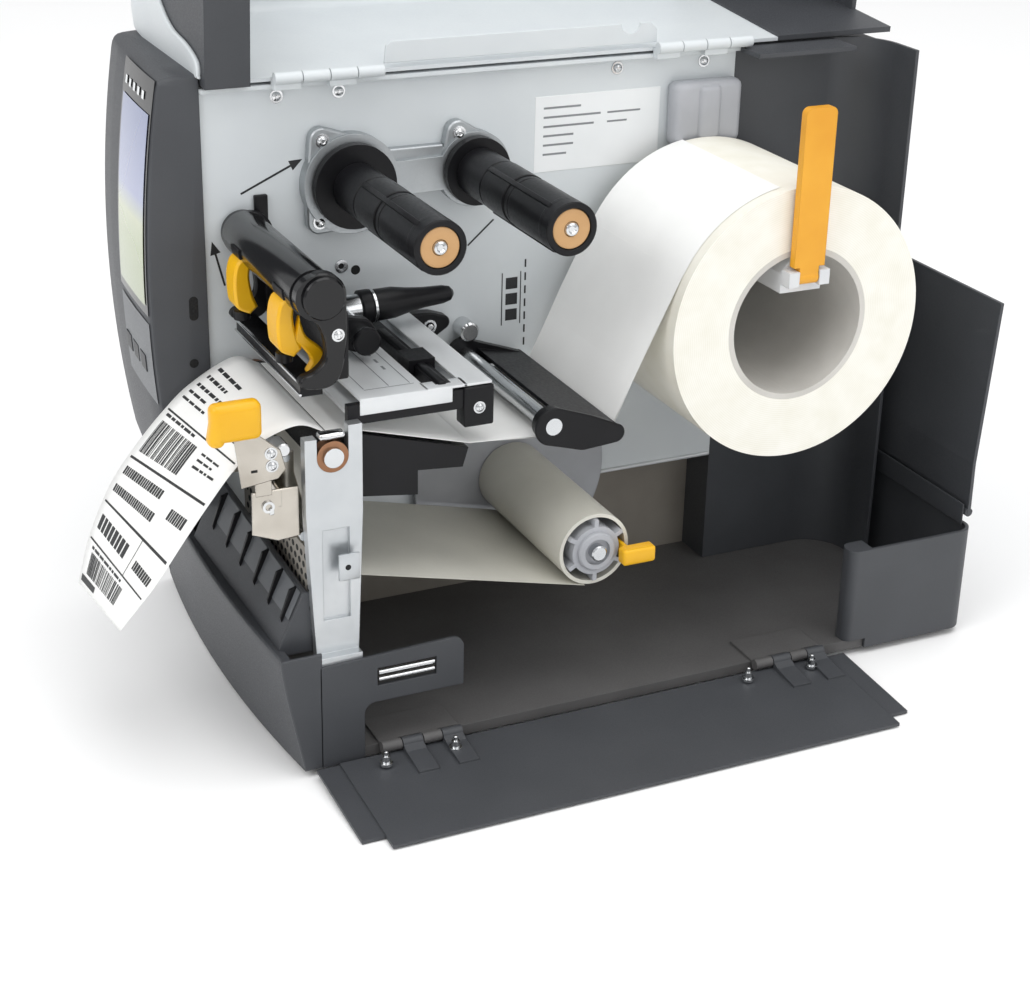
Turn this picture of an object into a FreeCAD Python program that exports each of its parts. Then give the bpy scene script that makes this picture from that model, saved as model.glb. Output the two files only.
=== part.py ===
import FreeCAD, Part
import math
import os
import re

import Sketcher
from FreeCAD import Placement, Rotation, Vector

# Desktop thermal-transfer label printer with its media door open, in millimetres.
# X runs from the electronics side to the media side, Y from front to rear, Z up from the desk.
# The origin is on the desk under the middle of the closed printer.
SIZES = {
    # base tray, feet and side plates
    "back_x": -121, "side_x": 118.5, "skin": 2, "front_y": -172, "rear_y": 219,
    "base_z": 4, "floor_z": 10, "pan_sheet": 1.5, "foot_r": 9, "foot_inset": 24,
    "strip_back_y": -96, "strip_leg_y": -150, "strip_front_y": -173, "strip_notch_z": 36,
    "strip_top_z": 64, "strip_round": 6, "slot_y": -127, "slot_z": 50, "slot_half_y": 16, "slot_half_z": 5,
    "corner_y": 152, "corner_top_z": 66, "corner_round": 10, "post_y": 138, "post_x": 108, "post_round": 5,
    # front bezel and the ribbed plate above its lip
    "lip_end_y": -193, "lip_end_z": 69, "lip_mid_y": -203, "lip_mid_z": 84, "lip_far_y": -193,
    "lip_far_z": 98, "toe_y": -182, "toe_mid_y": -190, "belly_z": 38, "bezel_wall": 3,
    "rib_end_x": 107, "rib_low_gap": 0.6, "rib_top_end_y": -177, "rib_top_end_z": 98,
    "rib_top_mid_y": -185, "rib_top_mid_z": 116, "rib_sheet": 2.5,
    # centre wall, lower panel, rear cover and electronics cover
    "wall_x": -5, "wall_front_y": -186, "wall_rear_y": 118, "wall_low_z": 79, "wall_top_z": 322,
    "lower_x": -30, "lower_rear_y": 118, "lower_top_z": 88,
    "rear_bend": 25, "rear_in_y": 205, "rear_wing_x": 40, "shelf_x": 20, "shelf_sheet": 2.5,
    "cover_top_z": 318, "cover_rear_y": 214, "cover_sheet": 1.5, "cover_round": 14,
    "vent_count": 9, "vent_pitch": 9, "vent_wide": 4, "vent_tall": 60, "vent_y": 90, "vent_z": 190,
    # control housing, screen and keys
    "house_side_x": -3, "house_far_x": -118, "house_top_z": 329, "house_mid_z": 208, "house_low_z": 100.5,
    "house_top_y": -206, "house_mid_y": -216, "house_low_y": -205, "house_bow": 8, "house_wall": 3,
    "screen_x": -10, "screen_wide": 54, "screen_low_z": 212, "screen_top_z": 326, "lens": 1,
    "key_x": -25, "key_pitch": 16, "key_wide": 11, "key_tall": 9, "key_z": 178, "key_gap": 0.4,
    "key_proud": 1.4, "key_deep": 9,
    # door hinge on the wall and the door itself, drawn closed and then swung open
    "hinge_x": 4.5, "hinge_z": 326, "pin_r": 1.5, "knuckle_r": 3, "knuckle_long": 14, "knuckle_gap": 0.5,
    "hinge_front_y": -150, "hinge_rear_y": 64, "run_gap": 0.05, "rail_x": 0, "rail_low_z": 306,
    "door_open": 175, "door_edge_x": 10, "door_side_x": 125, "door_sheet": 2, "door_top_z": 329,
    "door_low_z": 86, "door_front_y": -162, "door_rear_y": 142, "cap_front_y": -185, "cap_low_z": 272,
    "cap_column": 9, "cap_wall": 3, "tail_rear_y": 216, "tail_low_z": 200, "door_round": 8,
    "window_front_y": -60, "window_rear_y": 90, "window_low_z": 150, "window_top_z": 290, "pane": 2,
    # lower flap lying on the desk and rear flap
    "flap_x": 122.5, "flap_z": 10, "flap_pin_r": 1.5, "flap_knuckle_r": 3, "flap_out_x": 196,
    "flap_out_z": 1, "flap_sheet": 1.8, "flap_front_y": -165, "flap_rear_y": 124, "flap_under": 12,
    "flap_under_x": 186, "flap_drop": 5, "flap_hinge_front_y": -142, "flap_hinge_rear_y": 78,
    "flap_knuckle": 11, "leaf_x": 96, "leaf_sheet": 1.5, "leaf_out": 24,
    "tail_pin_y": 220, "tail_pin_z": 73.5, "tail_pin_r": 1.25, "tail_knuckle_r": 2.5, "tail_in_x": -2,
    "tail_out_x": 114, "tail_top_y": 224, "tail_top_z": 198, "tail_sheet": 2,
    # print head group
    "pivot_y": -125, "pivot_z": 206, "pivot_r": 6, "pivot_end_x": 62, "arm_r": 11, "arm_wide": 6,
    "arm_far_x": 1, "arm_near_x": 48, "bar_y": -167, "bar_z": 249, "bar_r": 11, "bar_low_x": -2,
    "bar_high_x": 111, "beam_low_x": 1, "beam_high_x": 104, "beam_front_y": -172, "beam_rear_y": -152,
    "beam_low_z": 206, "beam_high_z": 226, "cheek_wide": 5, "cheek_r": 15, "cheek_low_z": 202,
    "head_front_y": -174, "head_rear_y": -163, "head_low_z": 198.5, "head_low_x": 6, "head_high_x": 103,
    "toggle_long": 16, "toggle_near_x": 80, "toggle_far_x": 16, "toggle_r": 15, "hook_front_y": -187,
    "hook_low_z": 211, "hook_sheet": 7, "lever_x": 14, "lever_wide": 11, "lever_tip_y": -58,
    "lever_half": 5, "lever_r": 10,
    # ribbon spindles and their cast plate
    "take_y": -109, "take_z": 268.5, "supply_y": -41, "supply_z": 270, "cast_x": 3, "cast_take_r": 26,
    "cast_supply_r": 20, "cast_bar": 9, "spindle_r": 12.5, "spindle_x": 9, "spindle_end_x": 112,
    "axle_r": 6, "axle_x": -16, "plate_x": 4, "take_plate_r": 22, "supply_plate_r": 18, "disc_r": 10,
    "disc_end_x": 116,
    # platen, its bracket and its drive
    "platen_y": -162, "platen_z": 170, "platen_r": 9.5, "platen_low_x": 2, "platen_high_x": 104,
    "shaft_r": 5, "shaft_end_x": 115, "bush_r": 8, "bracket_x": 107, "bracket_end_x": 113,
    "bracket_front_y": -176, "bracket_rear_y": -147, "bracket_low_z": 61, "horn_front_z": 180,
    "horn_rear_z": 185, "foot_rise": 4, "recess_deep": 2, "pulley_x": -64, "pulley_wide": 9,
    "platen_pulley_r": 16, "motor_pulley_r": 8, "motor_y": -118, "motor_z": 130, "motor_half": 21,
    "motor_back_x": -52, "motor_shaft_r": 2.5, "belt_gap": 0.4, "belt_sheet": 1.2,
    # media path
    "media_x": 6, "media_end_x": 106.5, "tray_front_y": -152, "tray_rear_y": -78, "tray_z": 187,
    "tray_sheet": 2, "tray_end_x": 103, "rail_rear_y": -76, "rail_bottom_z": 182,
    "guide_front_y": -145, "guide_front_z": 176, "guide_rear_y": -88, "guide_rear_z": 160,
    "guide_deep": 10, "guide_foot_y": -115, "guide_low_z": 139, "guide_end_x": 105,
    "sensor_y": -101, "sensor_half": 4, "sensor_high": 6, "slider_x": 60, "slider_long": 16,
    "dancer_y": -46, "dancer_z": 168, "dancer_r": 4.5, "dancer_end_x": 115, "dancer_reach": 34,
    "dancer_tilt": 10, "dancer_edge_r": 3, "dancer_hub_r": 9, "dancer_low_x": 0.5, "dancer_cheek": 5,
    "dancer_high_x": 113, "dancer_shell": 2, "web": 0.2, "web_top_y": 27.6, "web_top_z": 235.6,
    "web_dip_y": -10, "web_dip_z": 158.3,
    # roll, core and hanger
    "roll_y": 94, "roll_z": 203, "roll_r": 73.3, "core_r": 41.2, "bore_r": 38.1, "roll_x": 8,
    "roll_end_x": 113, "hanger_half": 12, "hanger_low_z": 221, "hanger_high_z": 239.5, "hanger_end_x": 120.4,
    "guide_pin_z": 230, "guide_pin_r": 2, "guide_knuckle_r": 4, "guide_flap_top_z": 318,
    "guide_flap_half": 9, "guide_flap_sheet": 3, "clevis_half": 6,
    # liner take-up
    "liner_y": -16, "liner_z": 91, "liner_r": 20, "liner_in_r": 18, "hub_r": 13.5, "fin_r": 17.4,
    "fin_half": 1.2, "fin_count": 6, "disc_plate_r": 58, "disc_plate": 3, "liner_x": 3.5,
    "liner_end_x": 106, "liner_axle_r": 6, "liner_axle_x": -30, "hub_end_x": 108, "tip_end_x": 112,
    "hook_arm_r": 15.9, "hook_turn": 96, "hook_end_x": 118, "hook_gap": 0.6,
    "liner_front_y": -165, "liner_front_z": 112,
    "liner_top_y": -172.3, "liner_top_z": 170, "liner_plate_x": -0.5, "liner_fall": 13.5,
    # peel assembly
    "peel_y": -175, "peel_z": 128, "peel_pin_r": 2.5, "peel_in_x": 9, "peel_out_x": 97, "peel_sheet": 2,
    "peel_roller_y": -180, "peel_roller_z": 166, "peel_roller_r": 4, "peel_axle_r": 2, "peel_front_y": -188,
    "tab_in_x": 107.5, "tab_out_x": 117, "tab_front_y": -222, "tab_rear_y": -197,
    "tab_low_z": 183, "tab_high_z": 205, "stem_low_z": 132, "stem_rear_y": -178,
    # electronics
    "board_x": -24, "board_sheet": 1.6, "board_front_y": -70, "board_rear_y": 100, "board_low_z": 110,
    "board_high_z": 250, "board_post_r": 3, "board_inset": 8, "supply_box_x": -112, "supply_box_end_x": -44,
    "supply_box_y": 30, "supply_box_end_y": 190, "supply_box_top_z": 62,
    "inlet_x": -62, "inlet_half": 14, "inlet_low_z": 34, "inlet_tall": 20, "inlet_proud": 2,
    "port_x": -90, "port_half": 8, "port_low_z": 120, "port_tall": 13, "port_pitch": 26, "port_count": 3,
    "switch_z": 76, "switch_half": 6, "switch_tall": 20, "switch_pin_r": 1.5, "switch_gap": 0.5,
}

doc = FreeCAD.newDocument("label_printer")
sheet = doc.addObject("Spreadsheet::Sheet", "dims")
SCRATCH = "D1"
PLANES = {"x": "YZ_Plane", "y": "XZ_Plane", "z": "XY_Plane"}
ALONG = {
    "x": Rotation(Vector(0, 1, 0), 90),
    "y": Rotation(Vector(1, 0, 0), -90),
    "z": Rotation(),
}
nodes = {}


def fill_sheet():
    """Write every driving size into the sheet under its own alias."""
    for row, (alias, number) in enumerate(SIZES.items(), start=1):
        sheet.set(f"A{row}", alias)
        sheet.set(f"B{row}", str(number))
        sheet.setAlias(f"B{row}", alias)
    doc.recompute()


def cell(text):
    """Expression over the sheet, from one written with bare aliases."""
    return re.sub(r"\b[a-z][a-z_0-9]*\b(?!\()", r"dims.\g<0>", str(text))


def value(text):
    """Number that an expression has now, worked out by the sheet itself."""
    sheet.set(SCRATCH, f"={text}")
    sheet.recompute()
    return float(sheet.get(SCRATCH))


def bind(thing, **expressions):
    """Bind properties of an object to expressions over the sheet."""
    for name, text in expressions.items():
        thing.setExpression(name.replace("__", "."), cell(text))
    return thing


def node(label, thing):
    """Register an object as a piece that gets its own file."""
    thing.Label = label
    nodes[label] = thing
    return thing


def block(name, x, y, z):
    """Box between three pairs of low and high expressions."""
    box = doc.addObject("Part::Box", name)
    for side, base, (low, high) in (("Length", "x", x), ("Width", "y", y), ("Height", "z", z)):
        box.setExpression(side, cell(f"({high}) - ({low})"))
        box.setExpression(f"Placement.Base.{base}", cell(low))
    return box


def rod(name, axis, radius, centre, low, high):
    """Cylinder along an axis; centre holds the other two coordinates in their order."""
    cylinder = doc.addObject("Part::Cylinder", name)
    cylinder.Placement = Placement(Vector(), ALONG[axis])
    others = [letter for letter in "xyz" if letter != axis]
    cylinder.setExpression("Radius", cell(radius))
    cylinder.setExpression("Height", cell(f"({high}) - ({low})"))
    cylinder.setExpression(f"Placement.Base.{axis}", cell(low))
    for letter, place in zip(others, centre):
        cylinder.setExpression(f"Placement.Base.{letter}", cell(place))
    return cylinder


def fuse(name, *things):
    """Union of several objects."""
    joined = doc.addObject("Part::MultiFuse", name)
    joined.Shapes = list(things)
    joined.Refine = True
    return joined


def cut(name, base, *tools):
    """First object with the others taken away."""
    taken = doc.addObject("Part::Cut", name)
    taken.Base = base
    taken.Tool = tools[0] if len(tools) == 1 else fuse(name + "_tools", *tools)
    return taken


def common(name, *things):
    """Volume that the objects share."""
    shared = doc.addObject("Part::MultiCommon", name)
    shared.Shapes = list(things)
    return shared


def group(name, *things):
    """Several loose solids kept as one piece."""
    loose = doc.addObject("Part::Compound", name)
    loose.Links = list(things)
    return loose


def draw(sketch, outline):
    """Closed outline of (u, v) corners; a point marked "via" bends the stretch it lies on."""
    first = sketch.GeometryCount
    places = [Vector(value(p[0]), value(p[1]), 0) for p in outline]
    corners = [k for k, p in enumerate(outline) if len(p) == 2]
    ends = []
    vias = []
    for n, k in enumerate(corners):
        nxt = corners[(n + 1) % len(corners)]
        bent = (k + 1) % len(outline) != nxt
        if not bent:
            sketch.addGeometry(Part.LineSegment(places[k], places[nxt]), False)
            ends.append((1, 2))
            continue
        left_turn = (places[k + 1] - places[k]).cross(places[nxt] - places[k + 1]).z > 0
        start, stop = (k, nxt) if left_turn else (nxt, k)
        sketch.addGeometry(Part.Arc(places[start], places[k + 1], places[stop]), False)
        ends.append((1, 2) if left_turn else (2, 1))
        vias.append((first + n, k + 1))
    joins = []
    bound = []
    for n, k in enumerate(corners):
        after = (n + 1) % len(corners)
        joins.append(Sketcher.Constraint("Coincident", first + n, ends[n][1], first + after, ends[after][0]))
        bound.append((first + n, ends[n][0], k))
    for segment, k in vias:
        point = sketch.addGeometry(Part.Point(places[k]), True)
        joins.append(Sketcher.Constraint("PointOnObject", point, 1, segment))
        bound.append((point, 1, k))
    sketch.addConstraint(joins)
    for segment, end, k in bound:
        for kind, place, text in zip(("DistanceX", "DistanceY"), places[k][:2], outline[k][:2]):
            index = sketch.addConstraint(Sketcher.Constraint(kind, -1, 1, segment, end, place))
            sketch.setExpression(f"Constraints[{index}]", cell(text))


def draw_circle(sketch, u, v, radius):
    """Bound circle in a sketch."""
    circle = Part.Circle(Vector(value(u), value(v), 0), Vector(0, 0, 1), value(radius))
    ring = sketch.addGeometry(circle, False)
    for kind, text in (("DistanceX", u), ("DistanceY", v)):
        index = sketch.addConstraint(Sketcher.Constraint(kind, -1, 1, ring, 3, value(text)))
        sketch.setExpression(f"Constraints[{index}]", cell(text))
    index = sketch.addConstraint(Sketcher.Constraint("Radius", ring, value(radius)))
    sketch.setExpression(f"Constraints[{index}]", cell(radius))


def plate(name, axis, low, high, outline, holes=(), rounds=None):
    """Body padded along an axis from an outline, with round (u, v, radius) or cornered holes.

    rounds maps a radius to the numbers of the outline corners that it rounds off.
    """
    body = doc.addObject("PartDesign::Body", name)
    sketch = body.newObject("Sketcher::SketchObject", name + "_outline")
    plane = next(o for o in body.Origin.OriginFeatures if o.Role == PLANES[axis])
    sketch.AttachmentSupport = [(plane, "")]
    sketch.MapMode = "FlatFace"
    start = f"-({high})" if axis == "y" else low
    sketch.setExpression("AttachmentOffset.Base.z", cell(start))
    draw(sketch, outline)
    for hole in holes:
        if isinstance(hole, tuple):
            draw_circle(sketch, *hole)
        else:
            draw(sketch, hole)
    pad = body.newObject("PartDesign::Pad", name + "_pad")
    pad.Profile = sketch
    pad.setExpression("Length", cell(f"({high}) - ({low})"))
    for number, (radius, corners) in enumerate((rounds or {}).items()):
        doc.recompute()
        fillet = body.newObject("PartDesign::Fillet", f"{name}_round{number}")
        base = body.Group[-2]
        fillet.Base = (base, upright_edges(base.Shape, axis, [outline[c] for c in corners]))
        fillet.setExpression("Radius", cell(radius))
        body.Tip = fillet
    return body


def upright_edges(shape, axis, corners):
    """Names of the edges that run along an axis through the given outline corners."""
    places = [(value(u), value(v)) for u, v in corners]
    letters = [letter for letter in "xyz" if letter != axis]
    names = []
    for number, edge in enumerate(shape.Edges, start=1):
        ends = [tuple(getattr(vertex.Point, letter) for letter in letters) for vertex in edge.Vertexes]
        for place in places:
            if len(ends) == 2 and all(math.dist(end, place) < 1e-4 for end in ends):
                names.append(f"Edge{number}")
    return names


def loft(name, sections):
    """Solid through outlines drawn across the X axis, given as (x, outline) pairs."""
    through = []
    for number, (x, outline) in enumerate(sections):
        sketch = doc.addObject("Sketcher::SketchObject", f"{name}_section{number}")
        sketch.Placement = Placement(Vector(), Rotation(Vector(1, 1, 1), 120))
        sketch.setExpression("Placement.Base.x", cell(x))
        draw(sketch, outline)
        through.append(sketch)
    solid = doc.addObject("Part::Loft", name)
    solid.Sections = through
    solid.Solid = True
    solid.Ruled = True
    return solid


def rectangle(u, v):
    """Four corners from two pairs of expressions."""
    return [(u[0], v[0]), (u[1], v[0]), (u[1], v[1]), (u[0], v[1])]


def swing(thing, x, z, degrees):
    """Turn a finished object about an axis along Y through (x, z)."""
    turn = Rotation(Vector(0, 1, 0), degrees)
    thing.Placement = Placement(Vector(), turn, Vector(x, 0, z))
    return thing


def build_base():
    """Sheet tray with the fixed flap hinge leaves, four feet and the plates on its edges."""
    outer = plate(
        "pan_outer", "z", "base_z", "floor_z",
        rectangle(("back_x", "side_x"), ("front_y", "rear_y")), (), {"corner_round - skin": [2]},
    )
    inner = block(
        "pan_hollow",
        ("back_x + skin", "side_x - skin"),
        ("front_y + skin", "rear_y - skin"),
        ("base_z - 1", "floor_z - pan_sheet"),
    )
    parts = [cut("pan_shell", outer, inner)]
    for start in ("flap_hinge_front_y", "flap_hinge_rear_y"):
        last = f"{start} + 4 * flap_knuckle"
        leaf = block(
            "pan_leaf", ("leaf_x", "flap_x"), (start, last), ("floor_z", "floor_z + leaf_sheet")
        )
        gaps = []
        for turn in (1, 3):
            low = f"{start} + {turn} * flap_knuckle - knuckle_gap"
            high = f"{start} + {turn + 1} * flap_knuckle + knuckle_gap"
            gaps.append(
                block("leaf_gap", ("side_x", "flap_x + 9"), (low, high), ("floor_z - 9", "floor_z + 9"))
            )
        barrel = rod("leaf_barrel", "y", "flap_knuckle_r", ("flap_x", "flap_z"), start, last)
        pin = rod("leaf_pin", "y", "flap_pin_r", ("flap_x", "flap_z"), start, last)
        parts.append(fuse("fixed_leaf", cut("notched_leaf", fuse("leaf", leaf, barrel), *gaps), pin))
    node("base_pan", fuse("base_pan_solid", *parts))

    feet = []
    for x in ("back_x + foot_inset", "side_x - foot_inset"):
        for y in ("front_y + foot_inset", "rear_y - foot_inset"):
            feet.append(rod("foot", "z", "foot_r", (x, y), "0 * base_z", "floor_z - pan_sheet"))
    node("rubber_feet", group("feet", *feet))

    strip = [
        ("strip_front_y", "base_z"),
        ("strip_leg_y", "base_z"),
        ("strip_leg_y", "strip_notch_z"),
        ("strip_back_y", "strip_notch_z"),
        ("strip_back_y", "strip_top_z"),
        ("strip_front_y", "strip_top_z - 3"),
    ]
    slot = rectangle(
        ("slot_y - slot_half_y", "slot_y + slot_half_y"), ("slot_z - slot_half_z", "slot_z + slot_half_z")
    )
    node(
        "front_side_plate",
        plate("strip", "x", "side_x", "side_x + skin", strip, [slot], {"strip_round": [2, 4]}),
    )

    ell = [
        ("side_x + skin", "corner_y"),
        ("side_x + skin", "rear_y + skin"),
        ("wall_x - skin", "rear_y + skin"),
        ("wall_x - skin", "rear_y"),
        ("side_x", "rear_y"),
        ("side_x", "corner_y"),
    ]
    walls = plate(
        "corner_walls", "z", "base_z", "corner_top_z", ell, (),
        {"corner_round": [1], "corner_round - skin": [4]},
    )
    post = plate(
        "corner_post", "z", "floor_z", "corner_top_z",
        rectangle(("post_x", "side_x + skin"), ("post_y", "corner_y")), (), {"post_round": [0, 1]},
    )
    return fuse("corner_box", walls, post)


def build_front():
    """Bowed bezel across the front and the ribbed plate that leans back from its lip."""

    def bezel_outline(lip_y, lip_z, toe):
        middle = f"({lip_y}) * 0.38 + ({toe}) * 0.62"
        return [
            (lip_y, lip_z),
            (middle, "belly_z", "via"),
            (toe, "base_z"),
            (f"{toe} + bezel_wall", "base_z"),
            (f"{middle} + bezel_wall", "belly_z", "via"),
            (f"{lip_y} + bezel_wall", lip_z),
        ]

    band = loft(
        "bezel_band",
        [
            ("back_x", bezel_outline("lip_far_y", "lip_far_z", "toe_y")),
            ("wall_x", bezel_outline("lip_mid_y", "lip_mid_z", "toe_mid_y")),
            ("side_x", bezel_outline("lip_end_y", "lip_end_z", "toe_y")),
        ],
    )
    middle = "lip_end_y * 0.38 + toe_y * 0.62"
    end = [
        ("lip_end_y", "lip_end_z"),
        (middle, "belly_z", "via"),
        ("toe_y", "base_z"),
        ("strip_front_y", "base_z"),
        ("strip_front_y", "strip_top_z - 3"),
    ]
    cap = plate("bezel_end", "x", "side_x", "side_x + skin", end)
    sole = block(
        "bezel_sole",
        ("back_x", "side_x"),
        ("toe_y + 1", "front_y"),
        ("base_z", "base_z + skin"),
    )
    node("front_bezel", fuse("bezel", band, cap, sole))

    def rib_outline(lip_y, lip_z, top_y, top_z):
        inner = f"{lip_y} + bezel_wall + rib_low_gap"
        return [
            (inner, lip_z),
            (top_y, top_z),
            (f"{top_y} + rib_sheet", top_z),
            (f"{inner} + rib_sheet", f"{lip_z} - rib_sheet"),
        ]

    node(
        "ribbed_plate",
        loft(
            "rib_plate",
            [
                ("house_side_x + 1", rib_outline("lip_mid_y", "lip_mid_z", "rib_top_mid_y", "rib_top_mid_z")),
                ("rib_end_x", rib_outline("lip_end_y - 1", "lip_end_z", "rib_top_end_y", "rib_top_end_z")),
            ],
        ),
    )


def door_knuckles(name, turns, radius):
    """Hinge barrels for the numbered turns of both door hinges."""
    barrels = []
    for start in ("hinge_front_y", "hinge_rear_y"):
        for turn in turns:
            low = f"{start} + {turn} * (knuckle_long + knuckle_gap)"
            barrels.append(rod(name, "y", radius, ("hinge_x", "hinge_z"), low, f"{low} + knuckle_long"))
    return barrels


def build_walls():
    """Centre wall with its hinge rail, lower panel, rear cover and electronics cover."""
    holes = [
        ("take_y", "take_z", "axle_r + 3"),
        ("supply_y", "supply_z", "axle_r + 3"),
        ("platen_y", "platen_z", "bush_r"),
        ("liner_y", "liner_z", "liner_axle_r + run_gap"),
    ]
    face = plate(
        "wall_face", "x", "wall_x - skin", "wall_x",
        rectangle(("wall_front_y", "wall_rear_y"), ("wall_low_z", "wall_top_z")), holes,
    )
    lip = block(
        "wall_lip",
        ("lower_x", "wall_x - skin"),
        ("wall_front_y", "wall_rear_y"),
        ("wall_low_z", "wall_low_z + skin"),
    )
    rail = block(
        "wall_rail",
        ("wall_x", "rail_x"),
        ("wall_front_y", "wall_rear_y"),
        ("wall_top_z - skin", "wall_top_z"),
    )
    parts = [face, lip, rail]
    for start in ("hinge_front_y", "hinge_rear_y"):
        last = f"{start} + 4 * knuckle_long + 3 * knuckle_gap"
        parts.append(rod("door_pin", "y", "pin_r", ("hinge_x", "hinge_z"), start, last))
        for turn in (0, 2):
            low = f"{start} + {turn} * (knuckle_long + knuckle_gap)"
            high = f"{low} + knuckle_long"
            parts.append(
                block(
                    "door_leaf",
                    ("rail_x - 0.6", "hinge_x"),
                    (low, high),
                    ("wall_top_z - skin", "hinge_z - 1"),
                )
            )
    parts += door_knuckles("fixed_barrel", (0, 2), "knuckle_r")
    node("centre_wall", fuse("wall", *parts))

    node(
        "lower_wall_panel",
        block(
            "lower_panel",
            ("lower_x - skin", "lower_x"),
            ("front_y", "lower_rear_y"),
            ("floor_z", "wall_low_z"),
        ),
    )

    bend = "rear_bend * 0.2929"
    inner = [
        ("wall_x", "wall_rear_y"),
        ("wall_x", "rear_in_y - rear_bend"),
        (f"wall_x + {bend}", f"rear_in_y - {bend}", "via"),
        ("wall_x + rear_bend", "rear_in_y"),
        ("rear_wing_x", "rear_in_y"),
    ]
    outer = [
        ("rear_wing_x", "rear_in_y + skin"),
        ("wall_x + rear_bend", "rear_in_y + skin"),
        (f"wall_x - skin * 0.7071 + {bend}", f"rear_in_y + skin * 0.7071 - {bend}", "via"),
        ("wall_x - skin", "rear_in_y - rear_bend"),
        ("wall_x - skin", "wall_rear_y"),
    ]
    curtain = plate("rear_curtain", "z", "floor_z", "wall_top_z", inner + outer)
    shelf = block(
        "rear_shelf",
        ("wall_x", "shelf_x"),
        ("wall_rear_y", "rear_in_y - rear_bend"),
        ("wall_top_z - shelf_sheet", "wall_top_z"),
    )
    leg = block(
        "rear_leg",
        ("lower_x", "wall_x - skin"),
        ("wall_rear_y", "wall_rear_y + skin"),
        ("floor_z", "lower_top_z"),
    )
    node("rear_cover", fuse("rear_shell", curtain, shelf, leg))

    shell = plate(
        "cover_outer", "y", "wall_front_y", "cover_rear_y",
        rectangle(("back_x", "wall_x - skin"), ("floor_z", "cover_top_z")), (), {"cover_round": [3]},
    )
    hollow = plate(
        "cover_hollow", "y", "wall_front_y - 1", "cover_rear_y + 1",
        rectangle(
            ("back_x + cover_sheet", "wall_x"), ("floor_z - 1", "cover_top_z - cover_sheet")
        ), (), {"cover_round - cover_sheet": [3]},
    )
    vents = []
    for number in range(int(SIZES["vent_count"])):
        low = f"vent_y + {number} * vent_pitch"
        vents.append(
            block(
                "vent",
                ("back_x - 1", "back_x + cover_sheet + 1"),
                (low, f"{low} + vent_wide"),
                ("vent_z", "vent_z + vent_tall"),
            )
        )
    notch = block(
        "cover_notch",
        ("back_x - 1", "wall_x"),
        ("wall_front_y - 1", "toe_y + bezel_wall + 0.5"),
        ("floor_z - 1", "lip_far_z + 1"),
    )
    node("electronics_cover", cut("cover", shell, hollow, notch, *vents))


def house_loft(name, forward, inset):
    """Bowed control housing, moved forward or drawn in by a wall."""
    rear = f"wall_front_y + ({inset})"

    def outline(back):
        shift = f"{back} - ({forward}) + ({inset})"
        return [
            (f"house_top_y + {shift}", f"house_top_z - ({inset})"),
            (f"house_mid_y + {shift}", "house_mid_z", "via"),
            (f"house_low_y + {shift}", f"house_low_z + ({inset})"),
            (rear, f"house_low_z + ({inset})"),
            (rear, f"house_top_z - ({inset})"),
        ]

    middle = "house_side_x * 0.5 + house_far_x * 0.5"
    return loft(
        name,
        [
            (f"house_far_x + ({inset})", outline("house_bow")),
            (middle, outline("house_bow * 0.3")),
            (f"house_side_x - ({inset})", outline("0 * house_bow")),
        ],
    )


def build_controls():
    """Control housing, the screen laid on its bowed face and three keys in their wells."""
    solid = house_loft("house_solid", "0 * lens", "0 * lens")
    hollow = house_loft("house_hollow", "0 * lens", "house_wall")
    wells = []
    for number in range(3):
        x = f"key_x - {number} * key_pitch"
        wells.append(
            block(
                "key_well",
                (f"{x} - key_wide * 0.5 - key_gap", f"{x} + key_wide * 0.5 + key_gap"),
                ("house_mid_y - 5", "house_mid_y + 20"),
                ("key_z - key_tall * 0.5 - key_gap", "key_z + key_tall * 0.5 + key_gap"),
            )
        )
    node("control_housing", cut("house", solid, hollow, *wells))

    skin = house_loft("screen_skin", "lens", "0 * lens")
    frame = block(
        "screen_frame",
        ("screen_x - screen_wide", "screen_x"),
        ("house_mid_y - 5", "wall_front_y"),
        ("screen_low_z", "screen_top_z"),
    )
    seat = house_loft("screen_seat", "lens * 0.15", "0 * lens")
    node("touch_screen", cut("screen", common("screen_slab", skin, frame), seat))

    raised = house_loft("key_skin", "key_proud", "0 * lens")
    for number, label in enumerate(("right_key", "middle_key", "left_key")):
        x = f"key_x - {number} * key_pitch"
        stem = block(
            "key_stem",
            (f"{x} - key_wide * 0.5", f"{x} + key_wide * 0.5"),
            ("house_mid_y - 5", "house_mid_y + key_deep"),
            ("key_z - key_tall * 0.5", "key_z + key_tall * 0.5"),
        )
        node(label, common(label + "_cap", raised, stem))


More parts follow.
